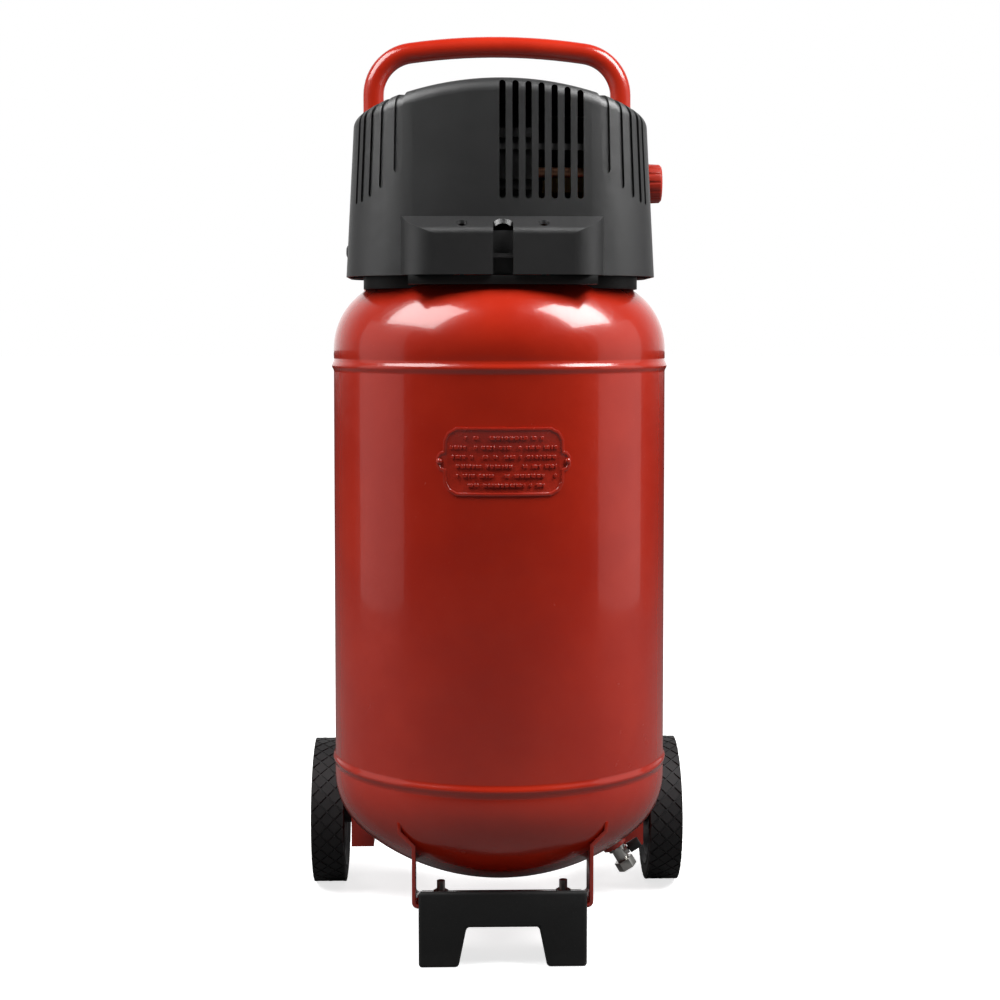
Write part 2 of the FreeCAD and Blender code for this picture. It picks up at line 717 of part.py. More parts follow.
def shroud_form(name, inset, edge_round):
    """The shroud's solid form, moved inwards by inset, with its roof edge rounded."""
    half = shroud_half - inset
    front, rear = front_corner - inset, rear_corner - inset
    crown = crown_front - inset
    side_x = shroud_half - front_corner
    crown_y = crown_front - shroud_front_y
    corner_y = crown_y - root((crown - front) * (crown - front) - side_x * side_x)
    ratio = crown / (crown - front)
    join_x, join_y = side_x * ratio, crown_y - (crown_y - corner_y) * ratio
    back = shroud_rear_y - inset
    plan = [
        (-join_x, join_y, crown), (join_x, join_y, front), (half, corner_y), (half, back - rear, rear),
        (half - rear, back), (rear - half, back, rear), (-half, back - rear), (-half, corner_y, front),
    ]
    walls = padded(name + "_walls", plan, shroud_high - shroud_low + 12.0, (0, 0, shroud_low))
    walls.Tip.TaperAngle = -draft
    roof = cylinder(
        name + "_roof", vault_r - inset, 500.0, (0, -250, shroud_high - vault_r), (0, 1, 0)
    )
    form = common(name, walls, roof)
    if edge_round is None:
        return form
    doc.recompute()
    axis_z, radius = float(shroud_high - vault_r), float(vault_r - inset)
    edges = []
    for number, edge in enumerate(form.Shape.Edges, start=1):
        spots = [edge.valueAt(edge.FirstParameter + (edge.LastParameter - edge.FirstParameter) * t)
                 for t in (0.1, 0.5, 0.9)]
        if all(abs(math.hypot(p.x, p.z - axis_z) - radius) < 0.01 for p in spots):
            edges.append((number, float(edge_round), float(edge_round)))
    rounded = doc.addObject("Part::Fillet", name + "_round")
    rounded.Base = form
    rounded.Edges = edges
    return rounded


def corner_centre():
    side_x = shroud_half - front_corner
    crown_y = crown_front - shroud_front_y
    span = crown_front - front_corner
    return side_x, crown_y - root(span * span - side_x * side_x)


def leg_channels(name, radius):
    height = shroud_high - shroud_low + 60.0
    return fuse(name, *[
        cylinder(f"{name}_{side + 1}", radius, height, (handle_half * side, handle_back, shroud_low - 10.0))
        for side in (-1, 1)
    ])


def bench_form(name, inset):
    """The screw bench: a sloped top, a rounded front edge and wide rounded corners."""
    low = shroud_low - (5.0 if inset.value > 0 else 0.0)
    high = shroud_low + bench_high - inset
    back = -(shroud_front_y - 40.0)
    face = -(bench_reach - inset)
    slope = -(shroud_front_y - 2.0)
    run = slope - face
    slant = root(run * run + bench_rise * bench_rise)
    edge = bench_edge - inset
    reach = edge * (slant - bench_rise) / run
    profile = [
        (face, low), (back, low), (back, high + bench_rise), (slope, high + bench_rise),
        (face + reach * run / slant, high + reach * bench_rise / slant, edge), (face, high - reach),
    ]
    half = bench_half - inset
    corner = bench_corner - inset
    plan = [
        (-half, back), (-half, face + corner, corner), (corner - half, face),
        (half - corner, face, corner), (half, face + corner), (half, back),
    ]
    wide = (half + 1.0) * 2.0
    tall = bench_high + bench_rise + 10.0
    return common(
        name, padded(name + "_profile", profile, wide, (0, 0, 0), plane="YZ_Plane"),
        padded(name + "_plan", plan, tall, (0, 0, low)),
    )


def corner_grooves():
    """Slabs that stand along the five ribs' gaps of each front corner, lower towards the side."""
    centre_x, centre_y = corner_centre()
    angles = (20.0, 33.5, 44.5, 54.5, 63.0)
    lows = (766.0, 752.0, 744.0, 739.5, 738.0)
    slabs = []
    for side in (-1, 1):
        for i, (angle, low, wide) in enumerate(zip(angles, lows, groove_widths)):
            aim = math.radians(angle) * side
            turn = FreeCAD.Rotation(Vector(0, 0, 1), angle * side)
            offset = turn.multVec(Vector(-wide / 2.0, 0, 0))
            name = f"groove_{side + 1}_{i}"
            far = 100.0
            slab = box(
                name,
                (centre_x * side + far * math.sin(aim) + offset.x,
                 centre_y - far * math.cos(aim) + offset.y, low + wide / 2.0),
                (wide, 60.0, 160.0), turn,
            )
            end = cylinder(
                name + "_end", wide / 2.0, 60.0,
                (centre_x * side + far * math.sin(aim), centre_y - far * math.cos(aim), low + wide / 2.0),
                (-math.sin(aim), math.cos(aim), 0),
            )
            slabs += [slab, end]
    return fuse("groove_slabs", *slabs)


def make_shroud():
    outer = shroud_form("shroud_outer", Size(0, "0"), roof_round)
    inner = shroud_form("shroud_inner", shroud_wall, roof_round - shroud_wall)
    skin = shroud_form("shroud_skin", groove_deep, roof_round - groove_deep)
    deep = shroud_form("shroud_deep", shroud_wall * 2.0, None)

    solid = cut("shroud_solid", fuse("shroud_body", outer, bench_form("bench_outer", Size(0, "0"))),
                leg_channels("channels_out", handle_r + leg_gap))
    hollow = cut("shroud_hollow", fuse("shroud_space", inner, bench_form("bench_inner", shroud_wall)),
                 leg_channels("channels_in", handle_r + leg_gap + shroud_wall))
    grooves = common("grooves", cut("groove_skin", outer, skin), corner_grooves())

    front = -(shroud_front_y + 4.0)
    half_slot = slot_wide / 2.0
    slots = []
    for i in range(7):
        x = slot_pitch * i
        low = slot_low + half_slot
        high = shroud_high - vault_r + root(vault_r * vault_r - x * x) - slot_bridge - half_slot
        slots.append(box(f"slot_{i}", (x - half_slot, front, low), (slot_wide, 44.0, high - low)))
        slots += [
            cylinder(f"slot_end_{i}_{end}", half_slot, 44.0, (x, front, z), (0, 1, 0))
            for end, z in enumerate((low, high))
        ]
    bar = common(
        "slot_bar", cut("bar_skin", inner, deep),
        box("bar_box", (-8.0, front, 788.0), (slot_pitch * 6.0 + 16.0, 44.0, 6.0)),
    )
    notch = box("notch", (-notch_half, -(bench_reach + 2.0), shroud_low - 2.0), (notch_half * 2.0, 14.0, bench_high + 30.0))
    notch_back = box("notch_back", (-notch_half - 2.0, 12.0 - bench_reach, shroud_low), (notch_half * 2.0 + 4.0, 3.0, 42.0))
    ledge = box("notch_ledge", (-notch_half - 2.0, 3.0 - bench_reach, 684.0), (notch_half * 2.0 + 4.0, 10.0, 4.0))
    cheeks = [
        box(f"notch_cheek_{side + 1}", (notch_half * side + (0.0 if side > 0 else -2.0), 1.0 - bench_reach, shroud_low),
            (2.0, 14.0, bench_high))
        for side in (-1, 1)
    ]
    funnel = cone("notch_funnel", 6.0, 14.0, 22.0, (0, 6.0 - bench_reach, shroud_low + 38.0))
    wells = []
    for side in (-1, 1):
        spot = (bench_screw_x * side, 10.0 - bench_reach, shroud_low + 41.0)
        wells.append(cylinder(f"bench_well_{side + 1}", 5.2, 40.0, spot))
    dome_room = sphere("dome_room", crown_r + 2.0, (0, 0, top_crown_z))
    seats = fuse("bench_seats", *[
        ring(f"bench_seat_{side + 1}", 8.0, 2.2, 36.0, (bench_screw_x * side, 10.0 - bench_reach, shroud_low + 5.0))
        for side in (-1, 1)
    ])
    side_holes = cylinder("side_screw_holes", 2.8, 340.0, (-170.0, 0, side_screw_z), (1, 0, 0))

    shell = cut("shroud_shell", solid, hollow)
    extras = common("shroud_extras", fuse("shroud_inside", bar, notch_back, *cheeks, seats), solid)
    notched = cut("shroud_notched", shell, grooves, *slots, notch, funnel, *wells, side_holes, dome_room)
    ledge_piece = common("notch_shelf", ledge, solid)
    extras_cut = cut("shroud_extras_cut", extras, *wells)
    whole = fuse("shroud_whole", notched, extras_cut, ledge_piece)

    ports = [
        cylinder("knob_port", 12.0, 40.0, (130.0, controls_y, controls_z), (1, 0, 0)),
        cylinder("switch_port", 6.5, 40.0, (switch_x, 75.0, switch_z), (0, 1, 0)),
        cylinder("safety_port", 11.0, 40.0, (riser_spot[0], 75.0, safety_z), (0, 1, 0)),
        cylinder("coupler_port", 10.0, 40.0, (coupler_x, 75.0, coupler_z), (0, 1, 0)),
        cylinder("gland_port", 7.0, 40.0, (gland_x, 75.0, low_ports_z), (0, 1, 0)),
        cylinder("button_port", 6.0, 40.0, (button_x, 75.0, low_ports_z), (0, 1, 0)),
    ]
    ports += [cylinder(f"gauge_port_{i}", 6.0, 40.0, (x, 75.0, controls_z), (0, 1, 0)) for i, x in enumerate(gauge_xs)]
    for i in range(6):
        x = -30.0 - slot_pitch * i
        ports.append(box(f"rear_slot_{i}", (x - slot_wide / 2.0, 75.0, slot_low), (slot_wide, 40.0, 70.0)))

    half_gap = seam_width / 2.0
    front_block = box("front_block", (-300.0, -300.0, 0), (600.0, 300.0 + split_y - half_gap, 1000.0))
    rear_block = box("rear_block", (-300.0, split_y + half_gap, 0), (600.0, 300.0, 1000.0))
    shroud_front = common("shroud_front", whole, front_block)
    shroud_rear = cut("shroud_rear", common("shroud_rear_blank", whole, rear_block), *ports)
    return [shroud_front, shroud_rear]


tray_low = cell("base_tray_bottom_height", 656.0)
tray_high = cell("base_tray_top_height", 672.0)
tray_inset = cell("base_tray_inset", 17.0)


def tray_form(name, inset, low, height):
    """The tray's plan is the shroud's, moved inwards."""
    half = shroud_half - inset
    front, rear = front_corner - inset, rear_corner - inset
    crown = crown_front - inset
    side_x, corner_y = corner_centre()
    crown_y = crown_front - shroud_front_y
    ratio = crown / (crown - front)
    join_x, join_y = side_x * ratio, crown_y - (crown_y - corner_y) * ratio
    back = shroud_rear_y - inset
    return padded(name, [
        (-join_x, join_y, crown), (join_x, join_y, front), (half, corner_y), (half, back - rear, rear),
        (half - rear, back), (rear - half, back, rear), (-half, back - rear), (-half, corner_y, front),
    ], height, (0, 0, low))


def make_tray():
    """A moulded ring under the shroud: two sides, a block under the bench and tabs for the side screws."""
    plate = tray_form("tray_plate", tray_inset, tray_low, tray_high - tray_low)
    space = tray_form("tray_space", tray_inset + 3.0, tray_low + 4.0, tray_high)
    front = box("tray_front", (7.0 - bench_half, shroud_wall + 3.0 - bench_reach, shroud_low - 9.0),
                ((bench_half - 7.0) * 2.0, 50.0, 8.5))
    pieces = [cut("tray_pan", plate, space), front]
    for side in (-1, 1):
        tab_x = shroud_half - tray_inset - 4.0
        reach = tray_inset + 2.0 - shroud_wall
        post_x = shroud_half - shroud_wall - 5.0
        tab_z = tray_high - 4.0
        pieces.append(box(f"tray_tab_{side + 1}", (tab_x if side > 0 else -tab_x - reach, -12.0, tab_z),
                          (reach, 24.0, 4.0)))
        pieces.append(box(f"tray_post_{side + 1}", (post_x if side > 0 else -post_x - 3.0, -12.0, tab_z),
                          (3.0, 24.0, side_screw_z - tab_z + 8.0)))
    holes = [cylinder("tray_side_hole", 2.2, 340.0, (-170.0, 0, side_screw_z), x_axis)]
    for side in (-1, 1):
        spot = (bench_screw_x * side, 10.0 - bench_reach, tray_low)
        holes.append(cylinder(f"bench_tab_hole_{side + 1}", 2.2, 30.0, spot))
    leg_room = leg_channels("tray_leg_room", handle_r + leg_gap + shroud_wall + 0.5)
    return [cut("base_tray", fuse("tray_solid", *pieces), tank_form, leg_room, *holes)]


def make_shroud_screws():
    screws = []
    for side in (-1, 1):
        away = (side, 0, 0)
        rise = (float(side_screw_z) - float(shroud_low)) * math.tan(math.radians(draft))
        head_x = (shroud_half - rise + 0.3) * side
        head = turned(f"side_head_{side + 1}", [(0, 0), (7.0, 0), (7.0, 1.2), (6.0, 2.6), (3.6, 3.6), (0, 3.6)], (head_x, 0, side_screw_z), away)
        shank = cylinder(f"side_shank_{side + 1}", 2.2, 12.0, (head_x, 0, side_screw_z), (-side, 0, 0))
        screws.append(fuse(f"side_screw_{side + 1}", head, shank))
        y = 10.0 - bench_reach
        top = shroud_low + 41.0
        cap = cylinder(f"bench_cap_{side + 1}", 4.4, 3.0, (bench_screw_x * side, y, top))
        stem = cylinder(f"bench_stem_{side + 1}", 2.2, 47.0, (bench_screw_x * side, y, top - 46.0))
        screws.append(fuse(f"bench_screw_{side + 1}", cap, stem))
    return [group("shroud_screws", *screws)]


# ---------------------------------------------------------------- pump
platform_high = cell("platform_height", 711.0)
platform_half = cell("platform_half_width", 96.0)
mount_high = cell("rubber_mount_height", 14.0)
sheet_steel = 3.0
mount_xs = (-84.0, 5.0)
mount_reach = cell("mount_spacing_half", 40.0)
motor_left, motor_right = -124.0, -36.0
rod_x = -4.0
bearing_r = 14.0
fit = cell("bearing_clearance", 0.05)
sliding = cell("piston_clearance", 0.03)
feet_z = platform_high + mount_high
front_axis = (0, -1, 0)
foot_plate = 6.0
capacitor_r = cell("capacitor_radius", 15.0)
capacitor_spot = (-118.0, shaft_y - 85.0, feet_z + foot_plate + capacitor_r)


def along_shaft(name, outline):
    """A turned piece about the shaft; the outline's y is its place along x."""
    return turned(name, outline, (0, shaft_y, shaft_z), x_axis)


def washer_outline(outer, inner, start, end):
    return [(inner, start), (outer, start), (outer, end), (inner, end)]


def mount_spots():
    return [(x, shaft_y + mount_reach * side) for x in mount_xs for side in (-1, 1)]


def make_platform():
    wide = platform_half * 2.0
    y = shaft_y - 49.0
    deep = 100.0
    plate = box("platform_plate", (-platform_half, y, platform_high - sheet_steel), (wide, deep, sheet_steel))
    legs = [
        box(f"platform_leg_{side + 1}", (x, y, dome_top - 60.0), (sheet_steel, deep, platform_high - dome_top + 60.0))
        for side, x in ((-1, -platform_half), (1, platform_half - sheet_steel))
    ]
    riser_room = cylinder("riser_room", 10.5, 20.0, (*riser_spot, platform_high - 10.0))
    platform = cut("pump_platform", fuse("platform_solid", plate, *legs), top_crown, riser_room, *[
        cylinder(f"platform_hole_{i}", 3.4, 20.0, (x, y, platform_high - 10.0)) for i, (x, y) in enumerate(mount_spots())
    ])
    mounts, bolts = [], []
    for i, (x, y) in enumerate(mount_spots()):
        mounts.append(ring(f"mount_{i}", 10.0, 3.4, mount_high, (x, y, platform_high)))
        head = hexagon(f"pump_head_{i}", 10.0, 4.0, (x, y, feet_z + foot_plate))
        shank = cylinder(f"pump_shank_{i}", 3.0, mount_high + 14.0, (x, y, platform_high - 8.0))
        nut = hexagon(f"pump_nut_{i}", 10.0, 4.0, (x, y, platform_high - sheet_steel - 4.0))
        bolts.append(fuse(f"pump_bolt_{i}", head, shank, nut))
    return [platform, group("rubber_mounts", *mounts)], bolts


def feet(name, x, height):
    """The cast feet under a housing: a plate on two mounts and a block up to the housing."""
    y = shaft_y
    plate = box(name + "_plate", (x - 10.0, y - mount_reach - 10.0, feet_z), (20.0, (mount_reach + 10.0) * 2.0, foot_plate))
    block = box(name + "_block", (x - 10.0, y - 22.0, feet_z), (20.0, 44.0, height))
    holes = [
        cylinder(f"{name}_hole_{side + 1}", 3.4, 20.0, (x, y + mount_reach * side, feet_z - 5.0)) for side in (-1, 1)
    ]
    return fuse(name + "_feet", plate, block), holes


def make_motor():
    wall = 4.0
    inside = motor_r - wall
    shell = along_shaft("motor_shell", washer_outline(motor_r, shaft_r, motor_left, motor_right))
    base, holes = feet("motor", mount_xs[0], 20.0)
    shelf = box("capacitor_shelf", (mount_xs[0] - 10.0, shaft_y - 95.0, feet_z), (20.0, 60.0, foot_plate))
    space = along_shaft("motor_space", [
        (0, motor_left + 4.0), (bearing_r, motor_left + 4.0), (bearing_r, motor_left + 14.0),
        (bearing_r + 4.0, motor_left + 14.0), (bearing_r + 4.0, motor_left + 4.0),
        (inside, motor_left + 4.0), (inside, motor_right + 1.0), (0, motor_right + 1.0),
    ])
    housing = cut("motor_housing", fuse("motor_solid", shell, base, shelf), space, *holes,
                  cylinder("motor_end_hole", bearing_r - 3.0, 30.0, (motor_left - 5.0, shaft_y, shaft_z), x_axis))
    stator = along_shaft("stator", [
        (28.0, -114.0), (41.0, -114.0), (41.0, -104.0), (inside, -104.0), (inside, -58.0), (41.0, -58.0),
        (41.0, -48.0), (28.0, -48.0), (28.0, -58.0), (26.0, -58.0), (26.0, -104.0), (28.0, -104.0),
    ])
    seats = ((motor_left + 4.0, 8.0), (motor_right, 8.0), (17.0, 7.0))
    bearings = group("bearings", *[
        along_shaft(f"bearing_{i}", washer_outline(bearing_r, shaft_r + fit, start, start + wide))
        for i, (start, wide) in enumerate(seats)
    ])
    capacitor = turned(
        "capacitor",
        [(0, 0), (capacitor_r, 0), (capacitor_r, 56.0), (6.0, 56.0), (6.0, 60.0), (0, 60.0)],
        capacitor_spot, x_axis,
    )
    return [housing, stator, bearings, capacitor]


crank_r, cavity_r = 40.0, 36.0
flange_y = -77.0


def make_crankcase():
    drum = along_shaft("crankcase_drum", washer_outline(crank_r, 0, motor_right, 18.0))
    collar = along_shaft("crankcase_collar", [(0, motor_right), (motor_r, motor_right), (motor_r, motor_right + 6.0), (0, motor_right + 6.0)])
    top_y = shaft_y - 41.0
    pad = box("cylinder_pad", (motor_right, top_y, shaft_z - 32.0), (54.0, 40.0, 64.0))
    barrel_room = box("barrel_room", (motor_right - 1.0, top_y - 60.0, shaft_z - 36.0), (8.0, 60.0, 72.0))
    base, holes = feet("crankcase", mount_xs[1], 24.0)
    trim = box("foot_trim", (18.0, -100.0, feet_z - 1.0), (40.0, 200.0, 60.0))
    space = along_shaft("crankcase_space", [
        (0, motor_right - 1.0), (bearing_r, motor_right - 1.0), (bearing_r, motor_right + 8.0),
        (bearing_r + 4.0, motor_right + 8.0), (bearing_r + 4.0, motor_right + 6.0),
        (cavity_r, motor_right + 6.0), (cavity_r, 19.0), (0, 19.0),
    ])
    mouth = cylinder("cylinder_mouth", 27.0, 60.0, (rod_x, shaft_y, shaft_z), front_axis)
    crankcase = cut("crankcase", fuse("crankcase_solid", drum, collar, pad, base), space, mouth, trim, barrel_room, *holes)
    cover = along_shaft("crankcase_cover", [
        (bearing_r, 17.0), (bearing_r + 4.0, 17.0), (bearing_r + 4.0, 18.0), (crank_r, 18.0), (crank_r, 24.0),
        (bearing_r, 24.0),
    ])

    fins = [
        cylinder(f"cylinder_fin_{i}", 31.0, 2.0, (rod_x, top_y - 7.0 - 6.0 * i, shaft_z), front_axis) for i in range(5)
    ]
    barrel = cylinder("barrel", 28.0, top_y - flange_y, (rod_x, top_y, shaft_z), front_axis)
    flange = box("barrel_flange", (rod_x - 35.0, flange_y - 4.0, shaft_z - 35.0), (70.0, 4.0, 70.0))
    liner_bore = cylinder("liner_bore", bore_r, 70.0, (rod_x, top_y + 5.0, shaft_z), front_axis)
    liner = cut("cylinder", fuse("barrel_solid", barrel, flange, *fins), liner_bore)
    plate_y = flange_y - 4.0
    valve_plate = box("valve_plate", (rod_x - 35.0, plate_y - 4.0, shaft_z - 35.0), (70.0, 4.0, 70.0))
    head = box("head_block", (rod_x - 35.0, plate_y - 24.0, shaft_z - 35.0), (70.0, 20.0, 70.0))
    gaps = [
        box(f"head_gap_{i}", (rod_x - 36.0, plate_y - 25.0, shaft_z - 31.0 + 10.0 * i), (72.0, 9.0, 6.0))
        for i in range(7) if i not in (2, 3)
    ]
    chambers = [
        box(f"head_chamber_{i}", (rod_x - 30.0 + 31.0 * i, plate_y - 12.0, shaft_z - 25.0), (29.0, 8.0, 50.0)) for i in (0, 1)
    ]
    cylinder_head = cut("cylinder_head", head, *gaps, *chambers)
    return [crankcase, cover, liner, valve_plate, cylinder_head]


def make_rotor():
    shaft = cylinder("shaft", shaft_r, 168.0, (motor_left + 4.0, shaft_y, shaft_z), x_axis)
    core = along_shaft("rotor_core", washer_outline(25.0, shaft_r - 1.0, -104.0, -58.0))
    rotor = fuse("rotor", shaft, core)
    throw_r = shaft_r + crank_throw + 3.0
    eccentric = cylinder("eccentric", throw_r, 11.0, (rod_x - 6.0, shaft_y - crank_throw, shaft_z), x_axis)
    weight = cylinder("weight_disc", 31.0, 10.0, (rod_x - 17.0, shaft_y, shaft_z), x_axis)
    half = box("weight_half", (rod_x - 20.0, shaft_y - 60.0, shaft_z - 40.0), (16.0, 52.0, 80.0))
    collar = cylinder("weight_collar", 8.5, 12.0, (rod_x - 17.0, shaft_y, shaft_z), x_axis)
    bore = cylinder("crank_bore", shaft_r, 60.0, (rod_x - 30.0, shaft_y, shaft_z), x_axis)
    crank = cut("crank_disc", fuse("crank_solid", eccentric, cut("weight", weight, half), collar), bore)

    hub = along_shaft("fan_hub", washer_outline(13.0, shaft_r, 28.0, 42.0))
    blades = []
    count = 9
    for i in range(count):
        angle = 360.0 * i / count
        turn = FreeCAD.Rotation(Vector(1, 0, 0), angle).multiply(FreeCAD.Rotation(Vector(0, 0, 1), 35.0))
        corner = turn.multVec(Vector(-7.0, -1.0, 0))
        blades.append(box(f"blade_{i}", (35.0 + corner.x, shaft_y + corner.y, shaft_z + corner.z), (14.0, 2.0, 49.0), turn))
    room = along_shaft("fan_room", washer_outline(60.0, 11.0, 28.5, 41.5))
    rim = along_shaft("fan_rim", washer_outline(51.0, 49.0, 30.0, 40.0))
    fan = fuse("cooling_fan", hub, common("fan_blades", fuse("blade_set", *blades), room), rim)
    return [rotor, crank, fan]


def make_rod():
    """The rod rides on the eccentric and reaches into the hollow piston."""
    throw_r = shaft_r + crank_throw + 3.0
    pin_y = shaft_y - crank_throw
    wrist_y = pin_y - rod_long
    big = cylinder("rod_big", throw_r + 7.0, 10.0, (rod_x - 5.0, pin_y, shaft_z), x_axis)
    shank = box("rod_shank", (rod_x - 4.0, wrist_y, shaft_z - 5.0), (8.0, rod_long, 10.0))
    small = cylinder("rod_small", 8.0, 14.0, (rod_x - 7.0, wrist_y, shaft_z), x_axis)
    pin = cylinder("wrist_pin", 4.0, 30.0, (rod_x - 15.0, wrist_y, shaft_z), x_axis)
    eye = cylinder("rod_eye", throw_r + fit, 20.0, (rod_x - 10.0, pin_y, shaft_z), x_axis)
    rod = cut("connecting_rod", fuse("rod_solid", big, shank, small, pin), eye)
    crown_y = flange_y - 3.0
    outside = cylinder("piston_outside", bore_r - sliding, 27.0, (rod_x, crown_y, shaft_z), (0, 1, 0))
    inside = cylinder("piston_inside", bore_r - 3.0, 30.0, (rod_x, crown_y + 4.0, shaft_z), (0, 1, 0))
    return [rod, cut("piston", outside, inside)]


def pipe(name, points, radius, bends):
    spots = [tuple(float(c) for c in p) for p in points]
    return plain_shape(name, swept(bent_wire(spots, bends), radius))


def make_plumbing():
    head_y = flange_y - 18.0
    outlet_x = rod_x + 35.0
    check_x, check_y = check_spot
    filter_body = turned(
        "intake_filter",
        [(4.0, 0), (7.0, 0), (7.0, 5.0), (13.0, 7.0), (13.0, 26.0), (11.0, 28.0), (4.0, 28.0)],
        (rod_x - 35.0, head_y, shaft_z), (-1, 0, 0),
    )
    discharge = pipe("discharge_tube", [
        (outlet_x, head_y, shaft_z - 8.0), (check_x, head_y, shaft_z - 8.0),
        (check_x, check_y, shaft_z - 8.0), (check_x, check_y, platform_high + 1.0)], 5.0, (17.0, 17.0))
    base_z = top_crown_z + root(crown_r * crown_r - (check_x**2 + check_y**2))
    check_solid = fuse(
        "check_solid",
        cylinder("check_boss", 13.0, 20.0, (check_x, check_y, base_z - 10.0)),
        cylinder("check_tube", 8.0, platform_high - base_z + 1.0, (check_x, check_y, base_z)),
        hexagon("check_hex", 20.0, 8.0, (check_x, check_y, platform_high - 12.0)),
        cylinder("check_port", 4.0, 14.0, (check_x, check_y, base_z + 18.0), x_axis),
    )
    check_valve = cut("check_valve", check_solid, top_crown,
                      cylinder("check_bore", port_bore, 60.0, (check_x, check_y, base_z - 20.0)))
    unloader = pipe("unloader_tube", [
        (check_x + 14.0, check_y, base_z + 18.0), (check_x + 28.0, check_y, base_z + 18.0),
        (check_x + 28.0, check_y, switch_z), (check_x + 28.0, controls_y, switch_z),
        (100.0, controls_y, switch_z)], 2.0, (10.0, 14.0, 12.0))

    riser_x, riser_y = riser_spot
    riser_z = top_crown_z + root(crown_r * crown_r - (riser_x * riser_x + riser_y * riser_y))
    half = 9.0
    riser_solid = fuse(
        "riser_solid",
        cylinder("riser_boss", 12.0, 16.0, (riser_x, riser_y, riser_z - 9.0)),
        cylinder("riser_tube", 8.0, controls_z - half - riser_z, (riser_x, riser_y, riser_z)),
        cylinder("riser_tee", 10.0, 22.0, (riser_x, riser_y, safety_z - 11.0)),
        cylinder("riser_branch", 8.0, 16.0, (riser_x, riser_y, safety_z), (0, 1, 0)),
    )
    riser = cut("riser_pipe", riser_solid, top_crown,
                cylinder("riser_bore", port_bore, 90.0, (riser_x, riser_y, riser_z - 12.0)))
    bar = box("manifold_bar", (coupler_x - 44.0, riser_y - half, controls_z - half), (62.0, half * 2.0, half * 2.0))
    duct = cylinder("manifold_duct", 4.0, 50.0, (coupler_x - 38.0, riser_y, controls_z), x_axis)
    manifold = cut("manifold", bar, duct)
    body = turned("regulator_body", [
        (0, 0), (8.0, 0), (8.0, 4.0), (15.0, 6.0), (15.0, 34.0), (10.0, 36.0), (10.0, 52.0), (0, 52.0)],
        (coupler_x + 18.0, riser_y, controls_z), x_axis)
    outlet_y = shroud_rear_y + 6.0
    elbow = fuse(
        "outlet_elbow",
        cylinder("elbow_drop", 7.0, controls_z - half - coupler_z, (coupler_x, riser_y, coupler_z)),
        sphere("elbow_turn", 7.0, (coupler_x, riser_y, coupler_z)),
        cylinder("elbow_run", 7.0, outlet_y - riser_y, (coupler_x, riser_y, coupler_z), (0, 1, 0)),
    )
    return [filter_body, discharge, check_valve, unloader, riser, manifold, body, elbow]


def make_coupler():
    """A quick coupler: a fixed body with a mouth, and a sleeve that slides back over it."""
    start = shroud_rear_y + 6.0
    spot = (coupler_x, start, coupler_z)
    rear = (0, 1, 0)
    body = turned("coupler_body", [
        (0, 0), (9.0, 0), (9.0, 9.0), (8.0, 9.0), (8.0, 31.0), (5.5, 31.0), (5.5, 10.0), (0, 10.0)], spot, rear)
    sleeve = turned("coupler_sleeve", [
        (8.0 + sliding, 16.0), (11.5, 16.0), (12.5, 17.0), (12.5, 19.0), (11.3, 20.0), (11.3, 27.0),
        (12.5, 28.0), (12.5, 30.0), (11.8, 31.0), (8.0 + sliding, 31.0)], spot, rear)
    valve_start = controls_y + 16.0
    at = (riser_spot[0], valve_start, safety_z)
    safety = turned("safety_valve", [
        (0, 0), (6.0, 0), (6.0, 10.0), (8.5, 10.0), (8.5, 20.0), (6.5, 20.0), (6.5, 52.0), (2.0 + fit, 52.0),
        (2.0 + fit, 30.0), (0, 30.0)], at, rear)
    hoop_y = valve_start + 66.0
    pin = cylinder("safety_pin", 2.0, 27.0, (riser_spot[0], valve_start + 31.0 + 4.0, safety_z), rear)
    hoop = torus("safety_hoop", 8.0, 1.6, (riser_spot[0], hoop_y + 3.0, safety_z), x_axis)
    knob = sphere("safety_tip", 3.0, (riser_spot[0], hoop_y - 5.0, safety_z))
    return [body, sleeve, safety, fuse("safety_ring", pin, hoop, knob)]


